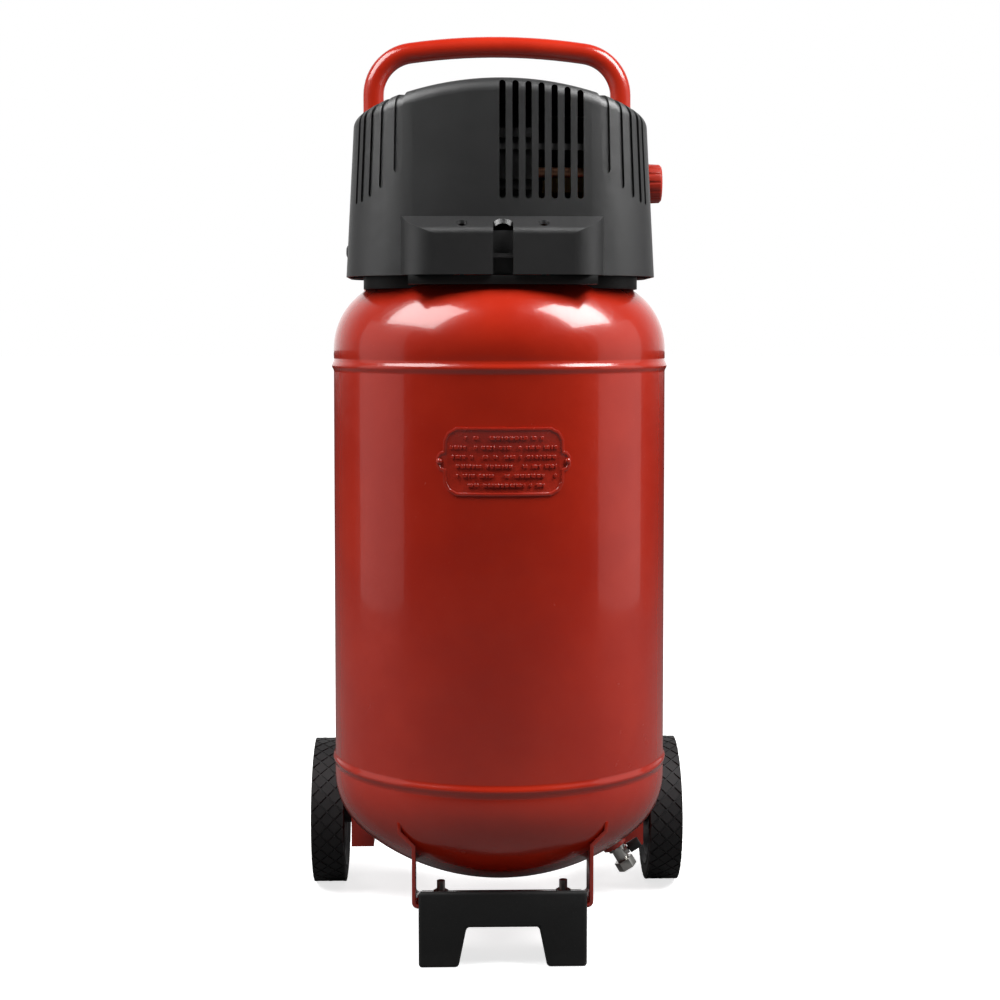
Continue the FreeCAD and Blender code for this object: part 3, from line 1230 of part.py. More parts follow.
def make_controls():
    rear = (0, 1, 0)
    half = 9.0
    housing = box("switch_case", (50.0, controls_y - 24.0, controls_z + half), (50.0, 48.0, 58.0))
    sleeve = cylinder("switch_neck", 5.0 + 4.0, 8.0, (switch_x, controls_y + 24.0, switch_z), rear)
    bore = cylinder("switch_bore", 5.0 + fit, 26.0, (switch_x, controls_y + 10.0, switch_z), rear)
    pressure_switch = cut("pressure_switch", fuse("switch_solid", housing, sleeve), bore)
    face = shroud_rear_y
    stem = cylinder("switch_stem", 5.0, face - controls_y - 12.0, (switch_x, controls_y + 16.0, switch_z), rear)
    cap = turned("switch_cap", [(0, 0), (9.0, 0), (11.0, 2.0), (11.0, 10.0), (9.5, 12.0), (0, 12.0)],
                 (switch_x, face + 3.0, switch_z), rear)
    switch_knob = fuse("switch_knob", stem, cap)

    start = coupler_x + 63.0
    knob_form = turned("regulator_knob_form", [
        (10.0 + fit, 0), (knob_r - 1.5, 0), (knob_r, 1.5), (knob_r - 0.6, 15.0), (knob_r - 2.6, 17.0), (0, 17.0),
        (0, 8.0), (10.0 + fit, 8.0)], (start, controls_y, controls_z), x_axis)
    flutes = []
    count = 14
    for i in range(count):
        angle = 2.0 * math.pi * i / count
        reach = knob_r + 1.6
        spot = (start - 1.0, controls_y + reach * math.cos(angle), controls_z + reach * math.sin(angle))
        flutes.append(cylinder(f"flute_{i}", 2.6, 24.0, spot, x_axis))
    regulator_knob = cut("regulator_knob", knob_form, *flutes)

    cases, dials, lenses, needles = [], [], [], []
    for i, x in enumerate(gauge_xs):
        spot = (x, face + 1.0, controls_z)
        cases.append(turned(f"gauge_case_{i}", [
            (0, -54.0 + half), (4.0, -54.0 + half), (4.0, -2.0), (5.0, 0), (gauge_r, 0), (gauge_r, 13.0),
            (gauge_r - 1.8, 13.0), (gauge_r - 1.8, 2.0), (0, 2.0)], spot, rear))
        dials.append(ring(f"gauge_dial_{i}", gauge_r - 1.8, 1.5, 1.2, (x, face + 3.0, controls_z), rear))
        lenses.append(cylinder(f"gauge_lens_{i}", gauge_r - 1.8, 2.0, (x, face + 11.0, controls_z), rear))
        name = ("gauge_needle_tank", "gauge_needle_outlet")[i]
        hub = cylinder(f"needle_hub_{i}", 2.0, 1.6, (x, face + 5.0, controls_z), rear)
        pivot = cylinder(f"needle_pivot_{i}", 1.0, 2.0, (x, face + 3.5, controls_z), rear)
        turn = FreeCAD.Rotation(Vector(0, 1, 0), 45.0)
        low = turn.multVec(Vector(-4.0, 0, -0.6))
        blade = box(f"needle_blade_{i}", (x + low.x, face + 5.0, controls_z + low.z), (18.0, 0.8, 1.2), turn)
        needles.append(fuse(name, hub, pivot, blade))

    gland = turned("gland_body", [
        (4.25, -14.0), (6.6, -14.0), (6.6, 0), (10.5, 0), (10.5, 5.0), (8.6, 6.0), (7.4, 14.0), (4.25, 14.0)],
        (gland_x, face + 0.4, low_ports_z), rear)
    gland_nut = cut("gland_nut", hexagon("gland_nut_form", 19.0, 5.0, (gland_x, face - 11.0, low_ports_z), rear),
                    cylinder("gland_nut_bore", 6.6, 12.0, (gland_x, face - 15.0, low_ports_z), rear))
    cable_gland = group("cable_gland", gland, gland_nut)
    box_y = face - 26.0
    case = box("overload_case", (button_x - 12.0, box_y, low_ports_z - 12.0), (24.0, 16.0, 24.0))
    guide = cylinder("overload_guide", 5.5, 11.0, (button_x, box_y + 16.0, low_ports_z), rear)
    guide_bore = cylinder("overload_bore", 4.0 + fit, 30.0, (button_x, box_y + 8.0, low_ports_z), rear)
    overload = cut("overload_switch", fuse("overload_solid", case, guide), guide_bore)
    button = cylinder("reset_button", 4.0, 20.0, (button_x, box_y + 13.0, low_ports_z), rear)
    return [pressure_switch, switch_knob, regulator_knob, group("gauge_cases", *cases),
            group("gauge_dials", *dials), group("gauge_lenses", *lenses), *needles, cable_gland, overload, button]


# ---------------------------------------------------------------- build, check and write
def main():
    foot, foot_bolts = make_foot()
    platform, pump_bolts = make_platform()
    axles = make_axle("axle_right", 1) + make_axle("axle_left", -1)
    nodes = [
        *make_tank(), *make_drain(), *foot, *make_wheel("right", 1), *make_wheel("left", -1),
        group("frame_fasteners", *axles, *foot_bolts, *pump_bolts), *make_handle(), *make_shroud(),
        *make_tray(), *make_shroud_screws(), *platform, *make_motor(), *make_crankcase(), *make_rotor(),
        *make_rod(), *make_plumbing(), *make_coupler(), *make_controls(),
    ]
    doc.recompute()
    for obj in doc.Objects:
        if "Invalid" in obj.State or "Error" in obj.State:
            raise RuntimeError(f"{obj.Name} did not recompute")
    os.makedirs("parts", exist_ok=True)
    for node in nodes:
        shape = node.Shape
        if shape.isNull() or not shape.isValid() or not shape.Solids:
            raise RuntimeError(f"{node.Label} has no valid solid")
        shape.exportStep(f"parts/{node.Label}.step")
        print(f"{node.Label:22s} {len(shape.Solids)} solid(s), {shape.Volume / 1000.0:9.2f} cm3")
    print(len(nodes), "nodes")


main()
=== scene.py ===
"""Finishes an upright air compressor.

It makes the painted, moulded, rubber and metal pieces, a floor, lights and a camera.
"""

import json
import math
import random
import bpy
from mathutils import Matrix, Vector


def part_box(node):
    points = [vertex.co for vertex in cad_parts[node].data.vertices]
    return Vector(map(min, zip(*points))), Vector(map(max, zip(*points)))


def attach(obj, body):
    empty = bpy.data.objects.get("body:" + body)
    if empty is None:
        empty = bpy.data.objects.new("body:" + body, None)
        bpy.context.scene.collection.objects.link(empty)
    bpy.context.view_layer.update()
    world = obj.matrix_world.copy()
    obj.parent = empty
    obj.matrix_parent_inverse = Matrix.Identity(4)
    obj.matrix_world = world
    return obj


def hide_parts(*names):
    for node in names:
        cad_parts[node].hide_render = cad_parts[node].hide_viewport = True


bl_info = {
    "name": "Air Compressor Finish",
    "version": (1, 0, 0),
    "blender": (4, 5, 0),
    "location": "View3D > Sidebar > Compressor",
    "description": "Builds the visible pieces, finishes and stage of an upright air compressor",
    "category": "Object",
}

import bmesh
import bpy
from mathutils import Matrix, Vector

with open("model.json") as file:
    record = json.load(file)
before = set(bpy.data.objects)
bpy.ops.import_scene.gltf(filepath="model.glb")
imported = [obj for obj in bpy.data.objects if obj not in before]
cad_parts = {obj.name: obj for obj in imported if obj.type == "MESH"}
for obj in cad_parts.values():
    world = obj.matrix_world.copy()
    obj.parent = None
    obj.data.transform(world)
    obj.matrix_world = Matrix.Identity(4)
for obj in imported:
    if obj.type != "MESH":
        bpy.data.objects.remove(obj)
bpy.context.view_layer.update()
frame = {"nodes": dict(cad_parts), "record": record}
NODES = frame["nodes"]


def length(name, text, default, **options):
    """A length property in metres."""
    return bpy.props.FloatProperty(
        name=name, description=text, default=default, unit="LENGTH", precision=4, **options,
    )


# ---------------------------------------------------------------- shader maths
class Value:
    """A shader socket that is used in Python expressions; each operation adds its Math node."""

    def __init__(self, tree, socket):
        self.tree = tree
        self.socket = socket

    def maths(self, operation, *others, clamp=False):
        node = self.tree.nodes.new("ShaderNodeMath")
        node.operation = operation
        node.use_clamp = clamp
        for place, item in enumerate((self, *others)):
            connect(self.tree, node.inputs[place], item)
        return Value(self.tree, node.outputs[0])

    def __add__(self, other):
        return self.maths("ADD", other)

    __radd__ = __add__

    def __sub__(self, other):
        return self.maths("SUBTRACT", other)

    def __rsub__(self, other):
        return self.maths("MULTIPLY_ADD", -1.0, other)

    def __mul__(self, other):
        return self.maths("MULTIPLY", other)

    __rmul__ = __mul__

    def __truediv__(self, other):
        return self.maths("DIVIDE", other)


def connect(tree, socket, item):
    """Sets a socket to a number or a colour, or links a Value to it."""
    if isinstance(item, Value):
        tree.links.new(item.socket, socket)
    elif hasattr(socket.default_value, "__len__"):
        item = tuple(item)
        socket.default_value = item + (1.0,) * (len(socket.default_value) - len(item))
    else:
        socket.default_value = item


class Finish:
    """One material: its Principled shader and the nodes that feed it."""

    def __init__(self, name):
        self.material = bpy.data.materials.new(name)
        self.material.use_nodes = True
        self.tree = self.material.node_tree
        self.shader = self.tree.nodes["Principled BSDF"]
        self.place = self.add("ShaderNodeTexCoord", out="Object")

    def add(self, kind, settings=None, out=0, **sockets):
        """Adds one node: its settings first, then its sockets by name (an underscore stands for a space)."""
        node = self.tree.nodes.new(kind)
        for key, item in (settings or {}).items():
            setattr(node, key, item)
        for key, item in sockets.items():
            connect(self.tree, self.input_of(node, key), item)
        return Value(self.tree, node.outputs[out])

    def input_of(self, node, key):
        wanted = key.replace("_", " ")
        for socket in node.inputs:
            if socket.enabled and socket.name == wanted:
                return socket
        raise KeyError(f"{node.bl_idname} has no input {wanted}")

    def set(self, **sockets):
        for key, item in sockets.items():
            connect(self.tree, self.input_of(self.shader, key), item)
        return self

    def noise(self, scale, detail=3.0, roughness=0.55, vector=None, distortion=0.0):
        """Noise from 0 to 1; scale is in cells per metre."""
        return self.add(
            "ShaderNodeTexNoise", Vector=vector or self.place, Scale=scale, Detail=detail,
            Roughness=roughness, Distortion=distortion,
        )

    def cells(self, scale, feature="F1", vector=None, randomness=1.0):
        return self.add(
            "ShaderNodeTexVoronoi", {"feature": feature}, "Distance", Vector=vector or self.place,
            Scale=scale, Randomness=randomness,
        )

    def step(self, value, low, high):
        """Rises smoothly from 0 at low to 1 at high."""
        return self.add(
            "ShaderNodeMapRange", {"interpolation_type": "SMOOTHSTEP"}, "Result", Value=value,
            From_Min=low, From_Max=high, To_Min=0.0, To_Max=1.0,
        )

    def mix(self, factor_value, first, second):
        node = self.tree.nodes.new("ShaderNodeMix")
        node.data_type = "RGBA"
        for socket, item in zip(
            (node.inputs[0], node.inputs[6], node.inputs[7]), (factor_value, first, second),
        ):
            connect(self.tree, socket, item)
        return Value(self.tree, node.outputs[2])

    def stretch(self, scale, vector=None, turn=(0.0, 0.0, 0.0)):
        return self.add(
            "ShaderNodeMapping", None, "Vector", Vector=vector or self.place, Scale=scale, Rotation=turn,
        )

    def axis(self, letter, vector=None):
        return self.add("ShaderNodeSeparateXYZ", None, letter, Vector=vector or self.place)

    def bump(self, height, depth, below=None):
        """Adds relief: height from 0 to 1 stands for depth in metres. It feeds the shader's Normal."""
        node = self.tree.nodes.new("ShaderNodeBump")
        node.inputs["Strength"].default_value = 1.0
        node.inputs["Distance"].default_value = depth
        connect(self.tree, node.inputs["Height"], height)
        if below is not None:
            connect(self.tree, node.inputs["Normal"], below)
        relief = Value(self.tree, node.outputs["Normal"])
        self.tree.links.new(relief.socket, self.shader.inputs["Normal"])
        return relief


FINISHES = {}


def finish_called(name):
    """Makes each finish once, on first use."""
    if name not in FINISHES:
        FINISHES[name] = MAKERS[name]().material
    return FINISHES[name]


# ---------------------------------------------------------------- finishes
def tank_red():
    """Gloss red powder coat: a faint orange peel, soft flow in the film and fine dust."""
    f = Finish("tank_red")
    cloud = f.noise(9.0, 4.0)
    blotch = f.noise(60.0, 3.0)
    tone = f.mix(f.step(cloud, 0.3, 0.75), (0.46, 0.018, 0.005), (0.54, 0.026, 0.008))
    speck = f.step(f.noise(900.0, 2.0, 0.6), 0.72, 0.80)
    tone = f.mix(speck * 0.25, tone, (0.62, 0.12, 0.07))
    f.set(Base_Color=tone, Roughness=0.2 + blotch * 0.10 + speck * 0.2, IOR=1.5)
    f.set(Coat_Weight=0.6, Coat_Roughness=0.06)
    peel = f.bump(f.noise(230.0, 2.0, 0.4), 0.00010)
    f.bump(f.noise(28.0, 2.0, 0.5), 0.0006, peel)
    return f


def shroud_plastic():
    """Black polypropylene with a fine spark-eroded grain and faint sinks."""
    f = Finish("shroud_plastic")
    grain = f.cells(2600.0)
    fine = f.noise(4200.0, 2.0, 0.6)
    cloud = f.noise(14.0, 4.0)
    tone = f.mix(cloud, (0.003, 0.003, 0.0033), (0.007, 0.007, 0.0074))
    dust = f.step(f.noise(1400.0, 2.0, 0.7), 0.66, 0.80)
    tone = f.mix(dust * 0.2, tone, (0.09, 0.09, 0.09))
    f.set(Base_Color=tone, Roughness=0.40 + cloud * 0.10, IOR=1.85)
    low = f.bump(grain * 0.6 + fine * 0.4, 0.00012)
    f.bump(f.noise(35.0, 2.0), 0.0004, low)
    return f


def plain_black(name, dark, light, rough, grain):
    f = Finish(name)
    cloud = f.noise(30.0, 4.0)
    f.set(Base_Color=f.mix(cloud, dark, light), Roughness=rough + cloud * 0.12)
    f.bump(f.noise(grain, 3.0, 0.6), 0.00006)
    return f


def tray_plastic():
    return plain_black("tray_plastic", (0.006, 0.006, 0.006), (0.012, 0.012, 0.012), 0.45, 2500.0)


def black_screws():
    return plain_black("black_screws", (0.010, 0.010, 0.010), (0.022, 0.022, 0.022), 0.30, 1800.0)


def black_knob():
    return plain_black("black_knob", (0.010, 0.010, 0.010), (0.020, 0.020, 0.020), 0.38, 2500.0)


def fan_plastic():
    return plain_black("fan_plastic", (0.02, 0.02, 0.02), (0.035, 0.035, 0.035), 0.45, 2500.0)


def hub_plastic():
    return plain_black("hub_plastic", (0.022, 0.022, 0.024), (0.040, 0.040, 0.042), 0.42, 2200.0)


def foot_rubber():
    """Moulded black rubber: matt, with a grey bloom and scuffs low down."""
    f = Finish("foot_rubber")
    bloom = f.noise(45.0, 5.0, 0.65)
    speck = f.step(f.noise(700.0, 3.0, 0.65), 0.60, 0.75)
    height = f.axis("Z")
    low = 1.0 - f.step(height + f.noise(120.0, 3.0) * 0.02, 0.0, 0.03)
    tone = f.mix(bloom, (0.006, 0.006, 0.006), (0.014, 0.014, 0.014))
    tone = f.mix(speck * 0.35 + low * 0.25, tone, (0.07, 0.068, 0.065))
    f.set(Base_Color=tone, Roughness=0.62 + bloom * 0.15, IOR=1.48)
    relief = f.bump(f.noise(1500.0, 3.0, 0.6), 0.00010)
    f.bump(f.noise(90.0, 3.0), 0.0003, relief)
    return f


def tyre_rubber():
    f = Finish("tyre_rubber")
    bloom = f.noise(60.0, 4.0, 0.6)
    speck = f.step(f.noise(900.0, 3.0, 0.7), 0.58, 0.75)
    tone = f.mix(bloom, (0.010, 0.010, 0.011), (0.022, 0.022, 0.023))
    f.set(Base_Color=f.mix(speck * 0.3, tone, (0.09, 0.088, 0.085)), Roughness=0.58 + bloom * 0.15)
    f.bump(f.noise(1600.0, 3.0, 0.6), 0.00008)
    return f


def metal(name, dark, light, rough, grain=900.0, scratch=0.0):
    """Bare or plated metal with slight tarnish and fine scratches."""
    f = Finish(name)
    cloud = f.noise(110.0, 4.0, 0.6)
    fine = f.noise(grain, 3.0, 0.6)
    f.set(Base_Color=f.mix(cloud, dark, light), Metallic=1.0, Roughness=rough + cloud * 0.14 + fine * 0.08)
    relief = f.bump(fine, 0.00004)
    if scratch:
        lines = f.noise(700.0, 2.0, 0.5, f.stretch((0.04, 1.0, 1.0)))
        f.bump(lines, scratch, relief)
    return f


def nickel():
    return metal("nickel", (0.42, 0.41, 0.39), (0.66, 0.65, 0.62), 0.20)


def zinc_steel():
    return metal("zinc_steel", (0.36, 0.36, 0.35), (0.60, 0.59, 0.56), 0.28, scratch=0.00003)


def brass():
    return metal("brass", (0.52, 0.36, 0.14), (0.74, 0.56, 0.26), 0.24)


def copper_tube():
    return metal("copper_tube", (0.55, 0.26, 0.15), (0.78, 0.42, 0.27), 0.28)


def cast_aluminium():
    # Painted shade: the aluminium is given a near-black colour so that the motor seen through the shroud's
    # slots reads as in deep shade.
    return metal("cast_aluminium", (0.10, 0.10, 0.10), (0.18, 0.18, 0.18), 0.5, 1300.0)


def stator_steel():
    # Dark laminated steel, made darker still as painted shade for the inside of the shroud.
    return metal("stator_steel", (0.08, 0.08, 0.085), (0.15, 0.15, 0.155), 0.45, 1300.0)


def knob_red():
    """Glossy red moulding with a faint haze."""
    f = Finish("knob_red")
    cloud = f.noise(80.0, 3.0)
    f.set(Base_Color=f.mix(cloud, (0.42, 0.022, 0.010), (0.52, 0.034, 0.016)), Roughness=0.26 + cloud * 0.12)
    f.bump(f.noise(1200.0, 2.0), 0.00004)
    return f


def gauge_case():
    return plain_black("gauge_case", (0.008, 0.008, 0.008), (0.016, 0.016, 0.016), 0.22, 900.0)


def needle_black():
    return plain_black("needle_black", (0.008, 0.008, 0.008), (0.014, 0.014, 0.014), 0.30, 900.0)


def dial_white():
    f = Finish("dial_white")
    cloud = f.noise(200.0, 3.0)
    f.set(Base_Color=f.mix(cloud, (0.74, 0.74, 0.71), (0.82, 0.82, 0.79)), Roughness=0.35 + cloud * 0.1)
    return f


def gauge_lens():
    """Clear acrylic: mostly see-through, with its gloss kept."""
    f = Finish("gauge_lens")
    haze = f.noise(150.0, 3.0)
    f.set(Base_Color=(0.9, 0.95, 0.95), Roughness=0.04 + haze * 0.05, Alpha=0.16 + haze * 0.04)
    return f


def plate_metal():
    """The pressed plate is painted over with the tank, a little darker, its tone varying in soft clouds."""
    f = Finish("plate_metal")
    cloud = f.noise(70.0, 4.0)
    f.set(Base_Color=f.mix(cloud, (0.38, 0.018, 0.008), (0.48, 0.028, 0.012)), Roughness=0.20 + cloud * 0.12)
    f.set(Coat_Weight=0.6, Coat_Roughness=0.08)
    peel = f.bump(f.noise(420.0, 3.0, 0.5), 0.00012)
    f.bump(f.noise(60.0, 3.0, 0.5), 0.0004, peel)
    return f


def floor_white():
    """White to the eye with soft shadows; a duller grey as a source of light."""
    f = Finish("floor_white")
    seen = f.add("ShaderNodeLightPath", out="Is Camera Ray")
    pale = f.mix(f.noise(2.0, 3.0), (0.80, 0.80, 0.80), (0.84, 0.84, 0.84))
    f.set(Base_Color=f.mix(seen, (0.16, 0.16, 0.16), pale), Roughness=0.8, Specular_IOR_Level=0.0)
    away = f.add("ShaderNodeVectorMath", {"operation": "LENGTH"}, "Value", Vector=f.place)
    glow = f.mix(f.step(away, 0.3, 2.6), (0.74, 0.74, 0.74), (1.0, 1.0, 1.0))
    f.set(Emission_Color=f.mix(seen, (0.0, 0.0, 0.0), glow), Emission_Strength=1.0)
    return f


MAKERS = {
    maker.__name__: maker
    for maker in (
        tank_red, shroud_plastic, tray_plastic, black_screws, black_knob, fan_plastic, hub_plastic,
        foot_rubber, tyre_rubber, nickel, zinc_steel, brass, copper_tube, cast_aluminium, stator_steel,
        knob_red, gauge_case, needle_black, dial_white, gauge_lens, plate_metal, floor_white,
    )
}


# ---------------------------------------------------------------- modelling by hand
def clear():
    """Back to object mode with nothing selected."""
    if bpy.context.object and bpy.context.object.mode != "OBJECT":
        bpy.ops.object.mode_set(mode="OBJECT")
    bpy.ops.object.select_all(action="DESELECT")


def only(piece):
    clear()
    piece.select_set(True)
    bpy.context.view_layer.objects.active = piece
    return piece


def settle(piece):
    """Puts a piece's place into its mesh, so its object stands at the origin."""
    only(piece)
    bpy.ops.object.transform_apply(location=True, rotation=True, scale=True)
    return piece


def named(name):
    piece = bpy.context.object
    piece.name = name
    piece.data.name = name
    return piece


def modifier(piece, kind, **settings):
    """Adds a modifier and applies it."""
    only(piece)
    item = piece.modifiers.new(kind.lower(), kind)
    for key, value in settings.items():
        setattr(item, key, value)
    bpy.ops.object.modifier_apply(modifier=item.name)
    return piece


def bevelled(piece, width, segments=2, angle=30.0):
    return modifier(
        piece, "BEVEL", width=width, segments=segments, limit_method="ANGLE",
        angle_limit=math.radians(angle), harden_normals=False, use_clamp_overlap=True,
    )


def smooth(piece, angle=35.0):
    only(piece)
    bpy.ops.object.shade_smooth_by_angle(angle=math.radians(angle), keep_sharp_edges=False)
    return piece


def block(name, low, high, width=0.0, segments=2):
    """A box between two corners, its edges rounded by width."""
    clear()
    low, high = Vector(low), Vector(high)
    bpy.ops.mesh.primitive_cube_add(size=1.0, location=(low + high) / 2)
    piece = named(name)
    piece.scale = high - low
    settle(piece)
    return bevelled(piece, width, segments) if width else piece


def turned(name, profile, at, axis="Z", steps=64, closed=False, flip=False):
    """Draws a half section as (radius, height) points by extruding one vertex, then spins it about the axis.

    The section may start and end on the axis; the doubles there are merged.
    """
    clear()
    bpy.ops.mesh.primitive_plane_add(size=0.001)
    piece = named(name)
    bpy.ops.object.mode_set(mode="EDIT")
    bpy.ops.mesh.select_mode(type="VERT")
    bpy.ops.mesh.merge(type="CENTER")
    (radius, height), rest = profile[0], profile[1:]
    bpy.ops.transform.translate(value=(radius, 0.0, height))
    for next_radius, next_height in [*rest, *([profile[0]] if closed else [])]:
        step = (next_radius - radius, 0.0, next_height - height)
        bpy.ops.mesh.extrude_vertices_move(TRANSFORM_OT_translate={"value": step})
        radius, height = next_radius, next_height
    bpy.ops.mesh.select_all(action="SELECT")
    bpy.ops.mesh.spin(steps=steps, angle=math.tau, center=(0.0, 0.0, 0.0), axis=(0.0, 0.0, 1.0))
    bpy.ops.mesh.select_all(action="SELECT")
    bpy.ops.mesh.remove_doubles(threshold=0.000002)
    bpy.ops.mesh.normals_make_consistent(inside=flip)
    bpy.ops.object.mode_set(mode="OBJECT")
    return placed(piece, at, axis)


TURNS = {
    "Z": Matrix.Identity(4),
    "-Z": Matrix.Rotation(math.pi, 4, "X"),
    "X": Matrix.Rotation(math.pi / 2, 4, "Y"),
    "-X": Matrix.Rotation(-math.pi / 2, 4, "Y"),
    "Y": Matrix.Rotation(-math.pi / 2, 4, "X"),
    "-Y": Matrix.Rotation(math.pi / 2, 4, "X"),
}


def placed(piece, at, axis="Z", spin=0.0):
    """Stands a piece made about the origin along an axis, turned by spin about itself, at a place."""
    turn = TURNS[axis] if isinstance(axis, str) else axis
    piece.matrix_world = Matrix.Translation(at) @ turn @ Matrix.Rotation(spin, 4, "Z")
    return settle(piece)


def joined(name, pieces):
    clear()
    for piece in pieces:
        piece.select_set(True)
    bpy.context.view_layer.objects.active = pieces[0]
    if len(pieces) > 1:
        bpy.ops.object.join()
    return named(name)


def copied(piece, shift=(0.0, 0.0, 0.0), turn=None):
    """A copy with its own mesh, moved and turned about the world's origin."""
    only(piece)
    bpy.ops.object.duplicate(linked=False)
    copy = bpy.context.object
    copy.matrix_world = Matrix.Translation(shift) @ (turn or Matrix.Identity(4))
    return settle(copy)


def boolean(piece, tool, operation):
    modifier(piece, "BOOLEAN", operation=operation, object=tool, solver="EXACT")
    bpy.data.objects.remove(tool)
    return piece


def choose(piece, test, kind="FACE"):
    """Edit mode with only the faces, edges or vertices chosen whose centre and normal pass a test."""
    only(piece)
    bpy.ops.object.mode_set(mode="EDIT")
    bpy.ops.mesh.select_mode(type=kind)
    bpy.ops.mesh.select_all(action="DESELECT")
    mesh = bmesh.from_edit_mesh(piece.data)
    items = {"FACE": mesh.faces, "EDGE": mesh.edges, "VERT": mesh.verts}[kind]
    for item in items:
        if kind == "FACE":
            hit = test(item.calc_center_median(), item.normal)
        elif kind == "EDGE":
            a, b = (vertex.co for vertex in item.verts)
            hit = test((a + b) / 2, b - a)
        else:
            hit = test(item.co, item.normal)
        if hit:
            item.select = True
    mesh.select_flush_mode()
    bmesh.update_edit_mesh(piece.data)


def done(piece):
    bpy.ops.object.mode_set(mode="OBJECT")
    return piece


def dress(piece, body, slot, *nodes, finish=None):
    """Gives a finished piece the material named by its slot and its body, and hides the CAD nodes it stands
    for.
    """
    piece.data.materials.clear()
    piece.data.materials.append(finish_called(finish or slot))
    for polygon in piece.data.polygons:
        polygon.material_index = 0
    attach(piece, body)
    if nodes:
        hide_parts(*nodes)
    clear()
    return piece


# ---------------------------------------------------------------- settings
class StageSettings(bpy.types.PropertyGroup):
    camera_x: length("Camera across", "How far the camera stands to the right of the middle", -0.049)
    camera_y: length("Camera back", "The camera's place from front to back", -1.9335)
    camera_z: length("Camera height", "The camera's height above the floor", 0.6163)
    camera_yaw: bpy.props.FloatProperty(
        name="Camera yaw", description="How far the camera is turned to the left",
        default=math.radians(-1.5), subtype="ANGLE",
    )
    lens: bpy.props.FloatProperty(
        name="Lens", description="Focal length in millimetres", default=66.71, min=10.0,
    )
    shift_x: bpy.props.FloatProperty(name="Shift across", description="Sideways lens shift", default=0.0)
    camera_tilt: bpy.props.FloatProperty(
        name="Camera tilt", description="How far the camera looks down",
        default=math.radians(3.0), subtype="ANGLE",
    )
    shift_y: bpy.props.FloatProperty(name="Shift up", description="Upward lens shift", default=-0.0737)
    floor_radius: length("Floor radius", "Radius of the round pale floor", 40.0)
    sky: bpy.props.FloatProperty(
        name="Sky", description="Strength of the even light all round", default=1.0, min=0.0,
    )


# ---------------------------------------------------------------- stage
LAMPS = (
    ("softbox_left", (-1.36, -0.5, 2.15), (0.0, 0.0, 0.6), (1.5, 1.3), 50.0),
    ("softbox_right", (1.36, -0.5, 2.15), (0.0, 0.0, 0.6), (1.2, 1.3), 66.0),
    ("panel_left", (-2.3, -0.1, 0.8), (0.0, 0.0, 0.6), (1.8, 2.0), 5.0),
    ("panel_right", (2.3, -0.1, 0.8), (0.0, 0.0, 0.6), (1.8, 2.0), 6.0),
)


def area_light(name, place, aim, size, power, tint=(1.0, 1.0, 1.0)):
    light = bpy.data.lights.new(name, "AREA")
    light.shape = "RECTANGLE"
    light.size, light.size_y = size
    light.energy = power
    light.color = tint
    lamp = bpy.data.objects.new(name, light)
    lamp.location = place
    lamp.rotation_euler = (Vector(aim) - Vector(place)).to_track_quat("-Z", "Y").to_euler()
    bpy.context.scene.collection.objects.link(lamp)
    return lamp


class OBJECT_OT_compressor_stage(bpy.types.Operator):
    """Makes the floor, the light and the camera"""

    bl_idname = "object.compressor_stage"
    bl_label = "Floor, light and camera"

    def execute(self, context):
        settings = context.scene.compressor_stage
        clear()
        bpy.ops.mesh.primitive_circle_add(vertices=96, radius=settings.floor_radius, fill_type="NGON")
        floor = named("floor")
        floor.data.materials.append(finish_called("floor_white"))
        self.light_world(context, settings.sky)
        for name, place, aim, size, power in LAMPS:
            area_light(name, place, aim, size, power)
        camera = bpy.data.cameras.new("camera")
        camera.lens = settings.lens
        camera.sensor_width = 36.0
        camera.shift_x = settings.shift_x
        camera.shift_y = settings.shift_y
        camera.clip_start = 0.05
        camera.clip_end = 200.0
        eye = bpy.data.objects.new("camera", camera)
        eye.location = (settings.camera_x, settings.camera_y, settings.camera_z)
        eye.rotation_euler = (math.pi / 2 - settings.camera_tilt, 0.0, settings.camera_yaw)
        context.scene.collection.objects.link(eye)
        context.scene.camera = eye
        context.scene.view_settings.view_transform = "Standard"
        return {"FINISHED"}

    def light_world(self, context, strength):
        """White to the eye; as a light, dimmer from the front than from the sides and behind."""
        world = bpy.data.worlds.new("studio")
        world.use_nodes = True
        context.scene.world = world
        tree = world.node_tree
        back = tree.nodes["Background"]
        place = tree.nodes.new("ShaderNodeTexCoord")
        split = tree.nodes.new("ShaderNodeSeparateXYZ")
        tree.links.new(place.outputs["Generated"], split.inputs[0])
        across = Value(tree, split.outputs["X"])
        along = Value(tree, split.outputs["Y"])
        behind = ((along - 0.3) * 1.6).maths("MAXIMUM", 0.0)
        side = across.maths("ABSOLUTE")
        glow = (behind * behind * 0.9 + side * side * 0.05 + 0.02) * strength
        seen = Value(tree, tree.nodes.new("ShaderNodeLightPath").outputs["Is Camera Ray"])
        connect(tree, back.inputs["Strength"], glow * (1.0 - seen) + seen)
        back.inputs["Color"].default_value = (1.0, 1.0, 1.0, 1.0)


# ---------------------------------------------------------------- carried-over pieces
class OBJECT_OT_compressor_repaint(bpy.types.Operator):
    """Gives the carried-over pieces their finishes"""

    bl_idname = "object.compressor_repaint"
    bl_label = "Carried-over pieces"

    def execute(self, context):
        clear()
        for item in frame["record"]["subparts"]:
            data = NODES[item["node"]].data
            data.materials.clear()
            data.materials.append(finish_called(item["material_slot"]))
        return {"FINISHED"}


